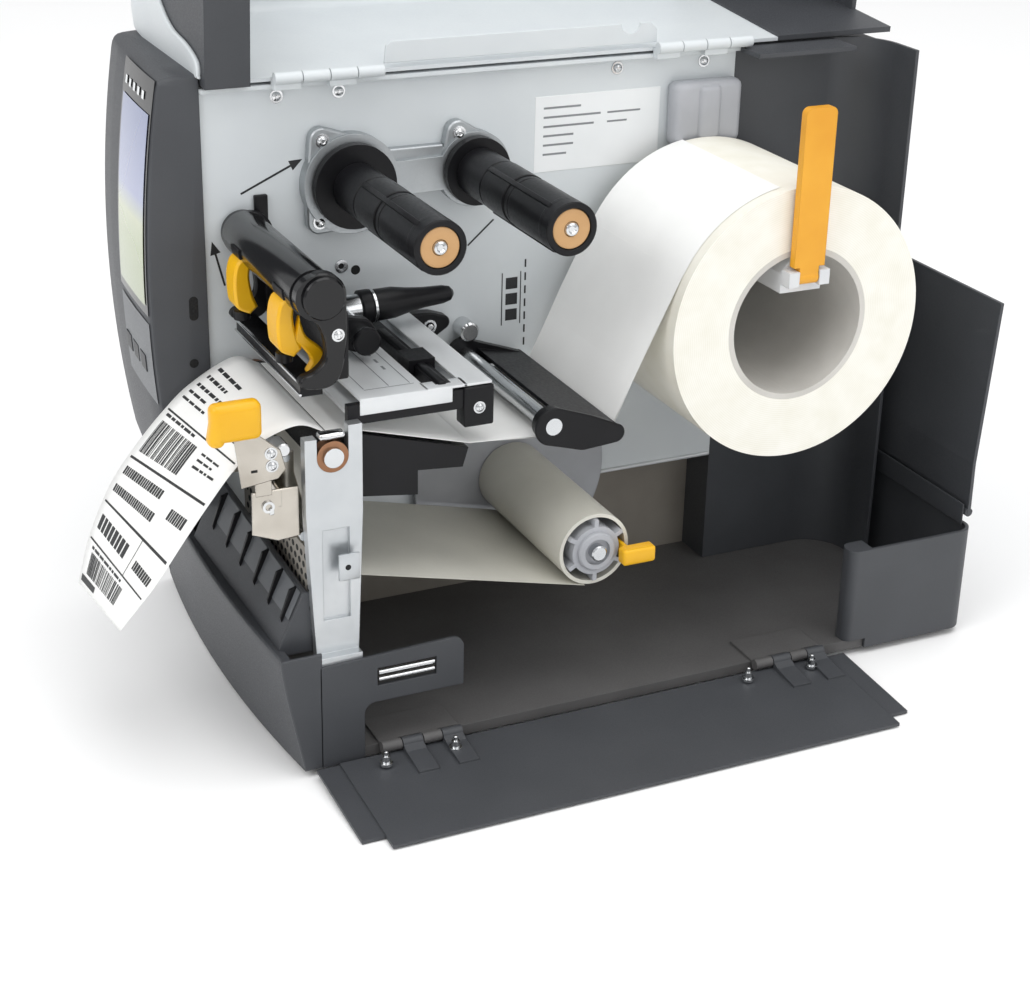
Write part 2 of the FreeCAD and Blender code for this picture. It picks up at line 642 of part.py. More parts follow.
def build_door():
    """Media door drawn closed: top and side sheets, dark caps at both ends and a clear pane."""
    corner = [
        ("door_edge_x", "door_top_z"),
        ("door_side_x", "door_top_z"),
        ("door_side_x", "door_low_z"),
        ("door_side_x - door_sheet", "door_low_z"),
        ("door_side_x - door_sheet", "door_top_z - door_sheet"),
        ("door_edge_x", "door_top_z - door_sheet"),
    ]
    panel = plate(
        "door_fold", "y", "door_front_y", "door_rear_y", corner, (),
        {"door_round": [1], "door_round - door_sheet": [4]},
    )
    opening = block(
        "door_opening",
        ("door_side_x - 9", "door_side_x + 1"),
        ("window_front_y", "window_rear_y"),
        ("window_low_z", "window_top_z"),
    )
    tabs = []
    for start in ("hinge_front_y", "hinge_rear_y"):
        for turn in (1, 3):
            low = f"{start} + {turn} * (knuckle_long + knuckle_gap)"
            tabs.append(
                block(
                    "door_tab",
                    ("hinge_x", "door_edge_x + 1"),
                    (low, f"{low} + knuckle_long"),
                    ("door_top_z - door_sheet", "door_top_z"),
                )
            )
    barrels = door_knuckles("door_barrel", (1, 3), "knuckle_r")
    bores = door_knuckles("door_bore", (1, 3), "pin_r + run_gap")
    leaves = cut("door_leaves", fuse("door_tabs", *tabs, *barrels), *bores)
    side_cut = cut("door_cut", panel, opening)
    body = fuse("door_sheet_body", side_cut, leaves)
    door = [node("door_panel", body)]

    pane = plate(
        "door_glass", "x", "door_side_x - door_sheet - pane", "door_side_x - door_sheet",
        rectangle(
            ("window_front_y - 6", "window_rear_y + 6"), ("window_low_z - 6", "window_top_z + 6")
        ), (), {"pane * 3": [0, 1, 2, 3]},
    )
    door.append(node("door_window", pane))

    fascia = [
        ("hinge_x", "door_top_z"),
        ("door_side_x", "door_top_z"),
        ("door_side_x", "door_low_z"),
        ("door_side_x - cap_column", "door_low_z"),
        ("door_side_x - cap_column", "cap_low_z"),
        ("hinge_x", "cap_low_z"),
    ]
    front = plate(
        "front_cap_solid", "y", "cap_front_y", "door_front_y", fascia, (), {"door_round": [1, 4]}
    )
    hollow = block(
        "front_cap_hollow",
        ("hinge_x + cap_wall", "door_side_x - cap_column - cap_wall"),
        ("cap_front_y + cap_wall", "door_front_y + 1"),
        ("cap_low_z + cap_wall", "door_top_z - cap_wall"),
    )
    door.append(node("door_front_cap", cut("front_cap", front, hollow)))

    roof = plate(
        "tail_roof", "y", "door_rear_y", "tail_rear_y",
        [
            ("door_edge_x", "door_top_z"),
            ("door_side_x", "door_top_z"),
            ("door_side_x", "door_low_z"),
            ("door_side_x - cap_wall", "door_low_z"),
            ("door_side_x - cap_wall", "door_top_z - cap_wall"),
            ("door_edge_x", "door_top_z - cap_wall"),
        ], (), {"door_round": [1], "door_round - cap_wall": [4]},
    )
    skirt = block(
        "tail_skirt",
        ("rear_wing_x + 6", "door_side_x - cap_wall"),
        ("tail_rear_y - cap_wall", "tail_rear_y"),
        ("tail_low_z", "door_top_z - cap_wall"),
    )
    door.append(node("door_rear_cap", fuse("rear_cap", roof, skirt)))
    for piece in door:
        swing(piece, value("hinge_x"), value("hinge_z"), -value("door_open"))


def build_flaps(corner):
    """Lower flap of two sheets lying out on the desk, and the rear flap standing on the rear wall."""
    run = "(flap_out_x - flap_x)"
    fall = "(flap_z - flap_drop - flap_out_z)"

    def strip(low_x, high_x, drop):
        def height(x, more):
            return f"flap_z - flap_drop + {more} - {fall} * ({x} - flap_x) / {run} - ({drop})"

        return [
            (low_x, height(low_x, "0 * flap_sheet")),
            (high_x, height(high_x, "0 * flap_sheet")),
            (high_x, height(high_x, "flap_sheet")),
            (low_x, height(low_x, "flap_sheet")),
        ]

    upper = plate(
        "flap_upper", "y", "flap_front_y", "flap_rear_y", strip("flap_x + 1", "flap_out_x", "0 * flap_sheet")
    )
    under = plate(
        "flap_lower", "y", "flap_front_y - flap_under", "flap_rear_y + flap_under",
        strip("flap_x + 1", "flap_under_x", "flap_sheet * 0.6"),
    )
    parts = [upper, under]
    bores = []
    for number, start in enumerate(("flap_hinge_front_y", "flap_hinge_rear_y")):
        for turn in (1, 3):
            low = f"{start} + {turn} * flap_knuckle"
            high = f"{low} + flap_knuckle"
            parts.append(rod("flap_barrel", "y", "flap_knuckle_r", ("flap_x", "flap_z"), low, high))
            parts.append(
                plate(
                    f"flap_tab{number}{turn}", "y", low, high,
                    [
                        ("flap_x", "flap_z + leaf_sheet"),
                        ("flap_x", "flap_z - leaf_sheet"),
                        ("flap_x + 6", "flap_z - flap_drop"),
                        ("flap_x + leaf_out", "flap_z - flap_drop - leaf_sheet"),
                        ("flap_x + leaf_out", "flap_z - flap_drop + leaf_sheet * 1.2"),
                        ("flap_x + 7", "flap_z - flap_drop + leaf_sheet * 2.4"),
                    ],
                )
            )
        last = f"{start} + 4 * flap_knuckle"
        bores.append(rod("flap_bore", "y", "flap_pin_r + run_gap", ("flap_x", "flap_z"), start, last))
    node("lower_flap", cut("flap", fuse("flap_sheets", *parts), *bores))

    lean = [
        ("tail_pin_y - 1", "tail_pin_z"),
        ("tail_pin_y - 1.5", "tail_pin_z + 30"),
        ("tail_top_y", "tail_top_z"),
        ("tail_top_y + tail_sheet", "tail_top_z"),
        ("tail_pin_y + 0.5", "tail_pin_z + 30"),
        ("tail_pin_y + 1", "tail_pin_z"),
    ]
    leaf = plate("tail_leaf", "x", "tail_in_x", "tail_out_x", lean)
    span = "(tail_out_x - tail_in_x) / 5"
    slots = []
    barrels = []
    ears = []
    for turn in range(5):
        low = f"tail_in_x + {turn} * {span} + knuckle_gap * 0.5"
        high = f"tail_in_x + {turn + 1} * {span} - knuckle_gap * 0.5"
        barrel = rod("tail_barrel", "x", "tail_knuckle_r", ("tail_pin_y", "tail_pin_z"), low, high)
        if turn % 2:
            slots.append(
                block(
                    "tail_slot",
                    (f"{low} - knuckle_gap", f"{high} + knuckle_gap"),
                    ("tail_pin_y - 6", "tail_pin_y + 6"),
                    ("tail_pin_z - 6", "tail_pin_z + tail_knuckle_r + 0.8"),
                )
            )
            ears.append(barrel)
            ears.append(
                block(
                    "tail_ear",
                    (low, high),
                    ("tail_pin_y - 1", "tail_pin_y + 1"),
                    ("corner_top_z", "tail_pin_z"),
                )
            )
        else:
            barrels.append(barrel)
    pin = rod("tail_pin", "x", "tail_pin_r", ("tail_pin_y", "tail_pin_z"), "tail_in_x", "tail_out_x")
    bore = rod(
        "tail_bore", "x", "tail_pin_r + run_gap", ("tail_pin_y", "tail_pin_z"),
        "tail_in_x - 1", "tail_out_x + 1",
    )
    moving = fuse("tail_moving", cut("tail_notched", leaf, *slots), *barrels)
    node("rear_flap", cut("tail_flap", moving, bore))
    node("rear_corner_box", fuse("corner_with_hinge", corner, *ears, pin))


def build_head():
    """Print head frame on its pivot shaft, the crossbar, the head strip, two toggles and the lever."""
    pivot = ("pivot_y", "pivot_z")
    beam = block(
        "head_beam",
        ("beam_low_x", "beam_high_x"),
        ("beam_front_y", "beam_rear_y"),
        ("beam_low_z", "beam_high_z"),
    )
    arms = []
    for start in ("arm_far_x", "arm_near_x"):
        last = f"{start} + arm_wide"
        arms.append(rod("arm_eye", "x", "arm_r", pivot, start, last))
        arms.append(
            block("arm_bar", (start, last), ("beam_rear_y - 1", "pivot_y"), ("beam_low_z", "beam_high_z - 8"))
        )
    cheeks = []
    for low, high in (
        ("beam_high_x", "beam_high_x + cheek_wide"),
        ("beam_low_x", "beam_low_x + cheek_wide"),
    ):
        cheeks.append(rod("cheek_eye", "x", "cheek_r", ("bar_y", "bar_z"), low, high))
        cheeks.append(
            plate(
                "cheek_far" if "low" in low else "cheek_near", "x", low, high,
                [
                    ("bar_y - cheek_r", "bar_z"),
                    ("bar_y - 9", "cheek_low_z + 14"),
                    ("bar_y - 4", "cheek_low_z + 4.5"),
                    ("bar_y + 8", "cheek_low_z + 4.5"),
                    ("bar_y + cheek_r + 2", "cheek_low_z + 26"),
                    ("bar_y + cheek_r", "bar_z"),
                ],
            )
        )
    tube_hole = rod("bar_hole", "x", "bar_r", ("bar_y", "bar_z"), "bar_low_x - 1", "bar_high_x + 1")
    pivot_hole = rod("pivot_hole", "x", "pivot_r + run_gap", pivot, "wall_x", "pivot_end_x + 1")
    frame = fuse("head_frame", beam, *arms, *cheeks)
    node("head_carrier", cut("carrier", frame, tube_hole, pivot_hole))
    node("head_crossbar", rod("crossbar", "x", "bar_r", ("bar_y", "bar_z"), "bar_low_x", "bar_high_x"))
    node(
        "print_head_strip",
        block(
            "head_strip",
            ("head_low_x", "head_high_x"),
            ("head_front_y", "head_rear_y"),
            ("head_low_z", "beam_low_z"),
        ),
    )

    for label, start in (("near_toggle", "toggle_near_x"), ("far_toggle", "toggle_far_x")):
        last = f"{start} + toggle_long"
        ring = rod(label + "_ring", "x", "toggle_r", ("bar_y", "bar_z"), start, last)
        foot = block(
            label + "_foot",
            (start, last),
            ("bar_y - 6", "bar_y + 6"),
            ("beam_high_z + 0.5", "bar_z"),
        )
        hook = plate(
            label + "_hook", "x", f"{start} + 2", f"{last} - 2",
            [
                ("bar_y - toggle_r + 3", "bar_z + 6"),
                ("hook_front_y + 2", "bar_z - 2"),
                ("hook_front_y", "hook_low_z + 6"),
                ("hook_front_y + 3", "hook_low_z"),
                ("hook_front_y + hook_sheet + 3", "hook_low_z + 4"),
                ("hook_front_y + hook_sheet", "bar_z - 12"),
                ("bar_y - toggle_r + 3", "bar_z - 9"),
            ],
        )
        hole = rod(label + "_hole", "x", "bar_r + run_gap", ("bar_y", "bar_z"), start, last)
        node(label, cut(label + "_body", fuse(label + "_solid", ring, foot, hook), hole))

    lever_end = "lever_x + lever_wide"
    hub = rod("lever_hub", "x", "lever_r", pivot, "lever_x", lever_end)
    handle = plate(
        "lever_handle", "x", "lever_x", lever_end,
        [
            ("pivot_y", "pivot_z - lever_half"),
            ("lever_tip_y - lever_half", "pivot_z - lever_half"),
            ("lever_tip_y", "pivot_z", "via"),
            ("lever_tip_y - lever_half", "pivot_z + lever_half"),
            ("pivot_y", "pivot_z + lever_half"),
        ],
    )
    bore = rod("lever_bore", "x", "pivot_r + run_gap", pivot, "lever_x - 1", f"{lever_end} + 1")
    node("head_lever", cut("lever", fuse("lever_solid", hub, handle), bore))

    shafts = [
        rod("pivot_shaft", "x", "pivot_r", pivot, "wall_x", "pivot_end_x"),
        rod("dancer_shaft", "x", "dancer_r", ("dancer_y", "dancer_z"), "wall_x", "dancer_end_x"),
        rod("peel_shaft", "x", "peel_pin_r", ("peel_y", "peel_z"), "wall_x", "bracket_x"),
    ]
    node("guide_shafts", group("shafts", *shafts))


def build_ribbon():
    """Cast plate on the wall and the two ribbon spindles that turn in it."""
    take = ("take_y", "take_z")
    supply = ("supply_y", "supply_z")
    bar = plate(
        "cast_bar", "x", "wall_x", "cast_x",
        [
            ("take_y", "take_z - cast_bar"),
            ("supply_y", "supply_z - cast_bar"),
            ("supply_y", "supply_z + cast_bar"),
            ("take_y", "take_z + cast_bar"),
        ],
    )
    eyes = [
        rod("cast_take", "x", "cast_take_r", take, "wall_x", "cast_x"),
        rod("cast_supply", "x", "cast_supply_r", supply, "wall_x", "cast_x"),
    ]
    holes = []
    for at in (take, supply):
        holes.append(rod("cast_hole", "x", "axle_r + run_gap", at, "wall_x - 1", "cast_x + 1"))
    node("ribbon_casting", cut("casting", fuse("cast_solid", bar, *eyes), *holes))

    for label, at, plate_r in (
        ("take_up_spindle", take, "take_plate_r"),
        ("supply_spindle", supply, "supply_plate_r"),
    ):
        steps = [
            rod(label + "_axle", "x", "axle_r", at, "axle_x", "plate_x"),
            rod(label + "_plate", "x", plate_r, at, "plate_x", "spindle_x"),
            rod(label + "_core", "x", "spindle_r", at, "spindle_x", "spindle_end_x"),
            rod(label + "_disc", "x", "disc_r", at, "spindle_end_x", "disc_end_x"),
        ]
        node(label, fuse(label + "_solid", *steps))


def belt_loop(radius, margin):
    """Closed wire round both pulleys, tangent to each, at a margin from their rims."""
    big = value(radius) + margin
    small = value("motor_pulley_r") + margin
    start = Vector(0, value("platen_y"), value("platen_z"))
    reach = Vector(0, value("motor_y"), value("motor_z")) - start
    heading = math.atan2(reach.z, reach.y)
    lean = math.acos((big - small) / reach.Length)

    def rim(centre, size, angle):
        return centre + Vector(0, size * math.cos(angle), size * math.sin(angle))

    far = start + reach
    ends = [rim(start, big, heading + lean), rim(start, big, heading - lean)]
    others = [rim(far, small, heading - lean), rim(far, small, heading + lean)]
    back = rim(start, big, heading + math.pi)
    front = rim(far, small, heading)
    edges = [
        Part.Arc(ends[0], back, ends[1]).toShape(),
        Part.LineSegment(ends[1], others[0]).toShape(),
        Part.Arc(others[0], front, others[1]).toShape(),
        Part.LineSegment(others[1], ends[0]).toShape(),
    ]
    return Part.Wire(edges)


def build_platen():
    """Platen roller on its driven shaft, bearings, side bracket, stepper motor and belt."""
    at = ("platen_y", "platen_z")
    roller = rod("roller_solid", "x", "platen_r", at, "platen_low_x", "platen_high_x")
    bore = rod("roller_bore", "x", "shaft_r", at, "platen_low_x - 1", "platen_high_x + 1")
    node("platen_roller", cut("roller", roller, bore))
    pulley = rod("platen_pulley", "x", "platen_pulley_r", at, "pulley_x", "pulley_x + pulley_wide")
    shaft = rod("shaft", "x", "shaft_r", at, "pulley_x", "shaft_end_x")
    node("platen_shaft", fuse("drive_shaft", shaft, pulley))

    rings = []
    for low, high in (("wall_x - skin", "wall_x + 4"), ("bracket_x", "bracket_end_x")):
        ring = rod("bush", "x", "bush_r", at, low, high)
        hole = rod("bush_hole", "x", "shaft_r + run_gap", at, f"{low} - 1", f"{high} + 1")
        rings.append(cut("bush_ring", ring, hole))
    node("platen_bearings", group("bearings", *rings))

    outline = [
        ("bracket_front_y + 4", "bracket_low_z"),
        ("bracket_rear_y - 3", "bracket_low_z"),
        ("bracket_rear_y", "platen_z - 30"),
        ("bracket_rear_y", "horn_rear_z"),
        ("platen_y + bush_r", "horn_rear_z"),
        ("platen_y + bush_r", "platen_z"),
        ("platen_y", "platen_z - bush_r", "via"),
        ("platen_y - bush_r", "platen_z"),
        ("platen_y - bush_r", "horn_front_z"),
        ("bracket_front_y", "horn_front_z"),
        ("bracket_front_y", "platen_z - 30"),
    ]
    cheek = plate("bracket_cheek", "x", "bracket_x", "bracket_end_x", outline)
    recess = block(
        "bracket_recess",
        ("bracket_end_x - recess_deep", "bracket_end_x + 1"),
        ("bracket_front_y + 8", "bracket_rear_y - 7"),
        ("bracket_low_z + 22", "platen_z - 38"),
    )
    foot = block(
        "bracket_foot",
        ("bracket_end_x - 1", "side_x"),
        ("bracket_front_y + 4", "bracket_rear_y - 3"),
        ("bracket_low_z - 3", "bracket_low_z + foot_rise"),
    )
    node("side_bracket", cut("bracket", fuse("bracket_solid", cheek, foot), recess))

    motor_at = ("motor_y", "motor_z")
    motor = plate(
        "motor_body", "x", "motor_back_x", "wall_x - skin",
        rectangle(
            ("motor_y - motor_half", "motor_y + motor_half"), ("motor_z - motor_half", "motor_z + motor_half")
        ), (), {"motor_half / 5": [0, 1, 2, 3]},
    )
    stub = rod("motor_shaft", "x", "motor_shaft_r", motor_at, "pulley_x", "motor_back_x")
    node("drive_motor", fuse("motor", motor, stub))
    wheel = rod("motor_wheel", "x", "motor_pulley_r", motor_at, "pulley_x", "pulley_x + pulley_wide")
    hole = rod("motor_hole", "x", "motor_shaft_r + run_gap", motor_at, "pulley_x - 1", "motor_back_x")
    node("motor_pulley", cut("motor_wheel_bored", wheel, hole))

    gap = value("belt_gap")
    outer = belt_loop("platen_pulley_r", gap + value("belt_sheet"))
    inner = belt_loop("platen_pulley_r", gap)
    belt = doc.addObject("Part::Feature", "belt")
    band = Part.makeFace([outer, inner], "Part::FaceMakerBullseye")
    belt.Shape = band.extrude(Vector(value("pulley_wide") - 2, 0, 0))
    belt.Placement = Placement(Vector(value("pulley_x") + 1, 0, 0), Rotation())
    node("drive_belt", belt)


def build_media():
    """Tray, guide, sensor slider, dancer, roll, hanger and the loaded paper."""
    tray = block(
        "tray",
        ("wall_x", "tray_end_x"),
        ("tray_front_y", "tray_rear_y"),
        ("tray_z", "tray_z + tray_sheet"),
    )
    node("media_tray", tray)
    guide = plate(
        "guide_bar", "x", "wall_x", "guide_end_x",
        [
            ("guide_front_y", "guide_front_z"),
            ("guide_rear_y", "guide_rear_z"),
            ("guide_rear_y - 3", "guide_rear_z - guide_deep"),
            ("guide_foot_y", "guide_rear_z - guide_deep + 2"),
            ("guide_foot_y", "guide_low_z"),
            ("guide_front_y", "guide_low_z + 4"),
        ],
    )
    node("media_guide", guide)

    bar = block(
        "sensor_bar",
        ("wall_x", "tray_end_x"),
        ("sensor_y - sensor_half", "sensor_y + sensor_half"),
        ("tray_z + tray_sheet", "tray_z + tray_sheet + sensor_high"),
    )
    rail = block(
        "tray_end",
        ("tray_end_x", "bracket_x"),
        ("tray_front_y", "rail_rear_y"),
        ("rail_bottom_z", "tray_z + tray_sheet + 3"),
    )
    node("tray_rail", fuse("tray_rails", bar, rail))
    saddle = block(
        "saddle",
        ("slider_x", "slider_x + slider_long"),
        ("sensor_y - sensor_half - 3", "sensor_y + sensor_half + 3"),
        ("tray_z + tray_sheet + 0.3", "tray_z + tray_sheet + sensor_high + 3"),
    )
    groove = block(
        "saddle_groove",
        ("slider_x - 1", "slider_x + slider_long + 1"),
        ("sensor_y - sensor_half - 0.2", "sensor_y + sensor_half + 0.2"),
        ("tray_z", "tray_z + tray_sheet + sensor_high + 0.2"),
    )
    node("sensor_slider", cut("slider", saddle, groove))

    node("dancer_arm", dancer())

    roll_at = ("roll_y", "roll_z")
    paper = rod("roll_paper", "x", "roll_r", roll_at, "roll_x", "roll_end_x")
    paper_bore = rod("roll_bore", "x", "core_r", roll_at, "roll_x - 1", "roll_end_x + 1")
    node("label_roll", cut("paper_ring", paper, paper_bore))
    tube = rod("core_tube", "x", "core_r", roll_at, "roll_x", "roll_end_x")
    tube_bore = rod("core_bore", "x", "bore_r", roll_at, "roll_x - 1", "roll_end_x + 1")
    node("roll_core", cut("core_ring", tube, tube_bore))
    build_hanger()

    paper_path = [
        ("web_top_y", "web_top_z"),
        ("web_dip_y", "web_dip_z"),
        ("guide_rear_y", "guide_rear_z + 3"),
        ("guide_front_y", "guide_front_z + 2.6"),
        ("platen_y", "platen_z + platen_r + 0.4"),
    ]
    node("label_web", ribbon("web_sheet", paper_path, "media_x", "media_end_x"))
    label_path = [
        ("platen_y - 0.2", "platen_z + platen_r + 0.4"),
        ("platen_y - 7", "platen_z + platen_r + 0.9"),
        ("platen_y - 14", "platen_z + 13.5"),
        ("platen_y - 24", "platen_z + 13"),
        ("platen_y - 48", "platen_z - 4.5"),
        ("platen_y - 75", "platen_z - 36"),
        ("platen_y - 96", "platen_z - 69"),
        ("platen_y - 106", "platen_z - 88"),
    ]
    node("printed_label", ribbon("label_sheet", label_path, "media_x", "media_end_x"))
    liner_path = [
        ("liner_top_y", "liner_top_z"),
        ("liner_front_y", "liner_front_z"),
        ("liner_front_y + 9", "liner_front_z - 8"),
        ("liner_y - (liner_r + 0.5) * sin(liner_fall)", "liner_z - (liner_r + 0.5) * cos(liner_fall)"),
    ]
    node("liner_web", ribbon("liner_sheet", liner_path, "media_x", "media_end_x"))


def ribbon(name, path, low_x, high_x):
    """Thin sheet along a path in the plane of Y and Z."""
    under = [(y, f"{z} - web") for y, z in reversed(path)]
    return plate(name, "x", low_x, high_x, list(path) + under)


def dancer():
    """Sprung arm on the dancer shaft: two cheeks, a shell between them and a round rear edge."""
    shaft = ("dancer_y", "dancer_z")
    reach_y = "dancer_y + dancer_reach * cos(dancer_tilt)"
    reach_z = "dancer_z - dancer_reach * sin(dancer_tilt)"
    edge = rod("dancer_edge", "x", "dancer_edge_r", (reach_y, reach_z), "dancer_low_x", "dancer_high_x")
    shell = plate(
        "dancer_shell", "x", "dancer_low_x", "dancer_high_x",
        [
            ("dancer_y + 7", "dancer_z + 3"),
            ("dancer_y + 7", "dancer_z + 3 - dancer_shell"),
            (reach_y, f"{reach_z} + dancer_edge_r - dancer_shell"),
            (reach_y, f"{reach_z} + dancer_edge_r"),
        ],
    )
    cheeks = []
    for number, (low, high) in enumerate(
        (
            ("dancer_low_x", "dancer_low_x + dancer_cheek"),
            ("dancer_high_x - dancer_cheek", "dancer_high_x"),
        )
    ):
        cheeks.append(rod("dancer_hub", "x", "dancer_hub_r", shaft, low, high))
        cheeks.append(
            plate(
                f"dancer_cheek{number}", "x", low, high,
                [
                    ("dancer_y", "dancer_z + dancer_hub_r"),
                    ("dancer_y", "dancer_z - dancer_r - 1.5"),
                    (reach_y, f"{reach_z} - dancer_edge_r + 0.1"),
                    (reach_y, f"{reach_z} + dancer_edge_r"),
                ],
            )
        )
    hole = rod("dancer_hole", "x", "dancer_r + run_gap", shaft, "wall_x", "dancer_end_x")
    clear = block(
        "dancer_clear",
        ("dancer_low_x - 1", "dancer_high_x + 1"),
        ("dancer_y - 20", "dancer_y + 30"),
        ("dancer_z - 20", "web_dip_z + 2.6"),
    )
    return cut("dancer_body", fuse("dancer_solid", edge, shell, *cheeks), hole, clear)


def build_hanger():
    """Arm that carries the roll inside its core, with a folding yellow guide at its free end."""
    arm = plate(
        "hanger_arm", "x", "wall_x", "hanger_end_x - 2 * guide_knuckle_r",
        [
            ("roll_y - hanger_half", "hanger_low_z"),
            ("roll_y + hanger_half", "hanger_low_z"),
            ("roll_y + hanger_half", "hanger_high_z - 8"),
            ("roll_y + hanger_half - 6", "hanger_high_z"),
            ("roll_y - hanger_half + 6", "hanger_high_z"),
            ("roll_y - hanger_half", "hanger_high_z - 8"),
        ],
    )
    pin_at = ("hanger_end_x - guide_knuckle_r", "guide_pin_z")
    cheeks = []
    for low, high in (
        ("roll_y - hanger_half", "roll_y - clevis_half"),
        ("roll_y + clevis_half", "roll_y + hanger_half"),
    ):
        cheeks.append(
            block(
                "hanger_cheek",
                ("hanger_end_x - 2 * guide_knuckle_r", "hanger_end_x"),
                (low, high),
                ("guide_pin_z - guide_knuckle_r", "guide_pin_z + guide_knuckle_r"),
            )
        )
    pin = rod("hanger_pin", "y", "guide_pin_r", pin_at, "roll_y - hanger_half", "roll_y + hanger_half")
    node("media_hanger", fuse("hanger", arm, *cheeks, pin))

    knuckle = rod(
        "guide_knuckle", "y", "guide_knuckle_r - 0.4", pin_at,
        "roll_y - clevis_half + 0.3", "roll_y + clevis_half - 0.3",
    )
    neck = block(
        "guide_neck",
        ("hanger_end_x - guide_knuckle_r - guide_flap_sheet * 0.5", "hanger_end_x - guide_knuckle_r * 0.25"),
        ("roll_y - clevis_half + 0.3", "roll_y + clevis_half - 0.3"),
        ("guide_pin_z", "guide_pin_z + guide_knuckle_r + 4"),
    )
    leaf = plate(
        "guide_leaf", "x", "hanger_end_x - guide_knuckle_r - guide_flap_sheet * 0.5",
        "hanger_end_x - guide_knuckle_r * 0.25",
        rectangle(
            ("roll_y - guide_flap_half", "roll_y + guide_flap_half"),
            ("guide_pin_z + guide_knuckle_r + 2", "guide_flap_top_z"),
        ), (), {"guide_flap_half * 0.4": [2, 3]},
    )
    bore = rod(
        "guide_bore", "y", "guide_pin_r + run_gap", pin_at, "roll_y - hanger_half", "roll_y + hanger_half"
    )
    node("roll_guide_flap", cut("guide_flap", fuse("guide_flap_solid", knuckle, neck, leaf), bore))


def build_liner():
    """Liner spindle with its flange and fins, the paper wound on it and the sliding hook."""
    at = ("liner_y", "liner_z")
    steps = [
        rod("liner_axle", "x", "liner_axle_r", at, "liner_axle_x", "hub_end_x"),
        rod("liner_flange", "x", "disc_plate_r", at, "liner_plate_x", "liner_plate_x + disc_plate"),
        rod("liner_hub", "x", "hub_r", at, "liner_plate_x + disc_plate", "hub_end_x"),
        rod("liner_tip", "x", "liner_axle_r - 2", at, "hub_end_x", "tip_end_x"),
    ]
    count = int(SIZES["fin_count"])
    for number in range(count):
        fin = block(
            "liner_fin",
            ("liner_plate_x + disc_plate", "hub_end_x"),
            ("liner_y", "liner_y + fin_r"),
            ("liner_z - fin_half", "liner_z + fin_half"),
        )
        turned = group("liner_fin_turned", fin)
        turn = Rotation(Vector(1, 0, 0), 360.0 * (number + 0.5) / count)
        turned.Placement = Placement(Vector(), turn, Vector(0, value("liner_y"), value("liner_z")))
        steps.append(turned)
    node("liner_spindle", fuse("liner_solid", *steps))

    wound = rod("wrap_outer", "x", "liner_r", at, "liner_x", "liner_end_x")
    inside = rod("wrap_inner", "x", "liner_in_r", at, "liner_x - 1", "liner_end_x + 1")
    node("liner_wrap", cut("wrap", wound, inside))

    arm = block(
        "hook_arm",
        ("liner_x + 4", "hook_end_x - 1"),
        ("liner_y - 3", "liner_y + 3"),
        ("liner_z + hook_arm_r - 1.2", "liner_z + hook_arm_r + 1.2"),
    )
    grip = block(
        "hook_grip",
        ("hub_end_x + hook_gap", "hook_end_x"),
        ("liner_y - 4", "liner_y + 4"),
        ("liner_z + hook_arm_r - 6", "liner_z + hook_arm_r + 8"),
    )
    hook = group("hook_turned", fuse("hook_solid", arm, grip))
    turn = Rotation(Vector(1, 0, 0), -value("hook_turn"))
    hook.Placement = Placement(Vector(), turn, Vector(0, value("liner_y"), value("liner_z")))
    node("liner_hook", hook)


def build_peel():
    """Swinging peel frame with its tab and the roller that it carries."""
    pivot = ("peel_y", "peel_z")
    roller_at = ("peel_roller_y", "peel_roller_z")
    sides = []
    for number, low in enumerate(("peel_in_x", "peel_out_x - peel_sheet")):
        sides.append(
            plate(
                f"peel_side{number}", "x", low, f"{low} + peel_sheet",
                [
                    ("peel_y - 5", "peel_z - 5"),
                    ("peel_y + 5", "peel_z - 5"),
                    ("peel_y + 5", "peel_z + 6"),
                    ("peel_roller_y + 4", "peel_roller_z - 8"),
                    ("peel_roller_y + 4", "peel_roller_z + 3"),
                    ("peel_front_y", "peel_roller_z + 3"),
                    ("peel_front_y", "peel_roller_z - 20"),
                ],
            )
        )
    front = block(
        "peel_front",
        ("peel_in_x", "peel_out_x"),
        ("peel_front_y", "peel_front_y + peel_sheet"),
        ("peel_roller_z - 20", "peel_roller_z - 2"),
    )
    bridge = block(
        "peel_bridge",
        ("peel_out_x - peel_sheet", "tab_in_x + peel_sheet"),
        ("peel_front_y", "peel_front_y + peel_sheet"),
        ("peel_roller_z - 20", "peel_roller_z - 2"),
    )
    stem = plate(
        "peel_stem", "x", "tab_in_x", "tab_in_x + peel_sheet",
        [
            ("peel_front_y - 2", "stem_low_z"),
            ("stem_rear_y", "stem_low_z + 4"),
            ("stem_rear_y", "peel_roller_z + 2"),
            ("tab_rear_y + 1", "tab_low_z"),
            ("tab_rear_y - 13", "tab_low_z"),
            ("tab_rear_y - 9", "peel_roller_z - 4"),
        ],
    )
    bore = rod("peel_bore", "x", "peel_pin_r + run_gap", pivot, "peel_in_x - 1", "peel_out_x + 1")
    eye = rod("peel_eye", "x", "peel_axle_r + run_gap", roller_at, "peel_in_x - 1", "peel_out_x + 1")
    node("peel_frame", cut("peel", fuse("peel_sheets", front, bridge, stem, *sides), bore, eye))
    node(
        "peel_tab",
        block(
            "peel_grip",
            ("tab_in_x", "tab_out_x"),
            ("tab_front_y", "tab_rear_y"),
            ("tab_low_z", "tab_high_z"),
        ),
    )
    sleeve = rod(
        "peel_sleeve", "x", "peel_roller_r", roller_at,
        "peel_in_x + peel_sheet + 0.5", "peel_out_x - peel_sheet - 0.5",
    )
    axle = rod("peel_axle", "x", "peel_axle_r", roller_at, "peel_in_x - 0.5", "peel_out_x + 0.5")
    node("peel_roller", fuse("peel_spinner", sleeve, axle))


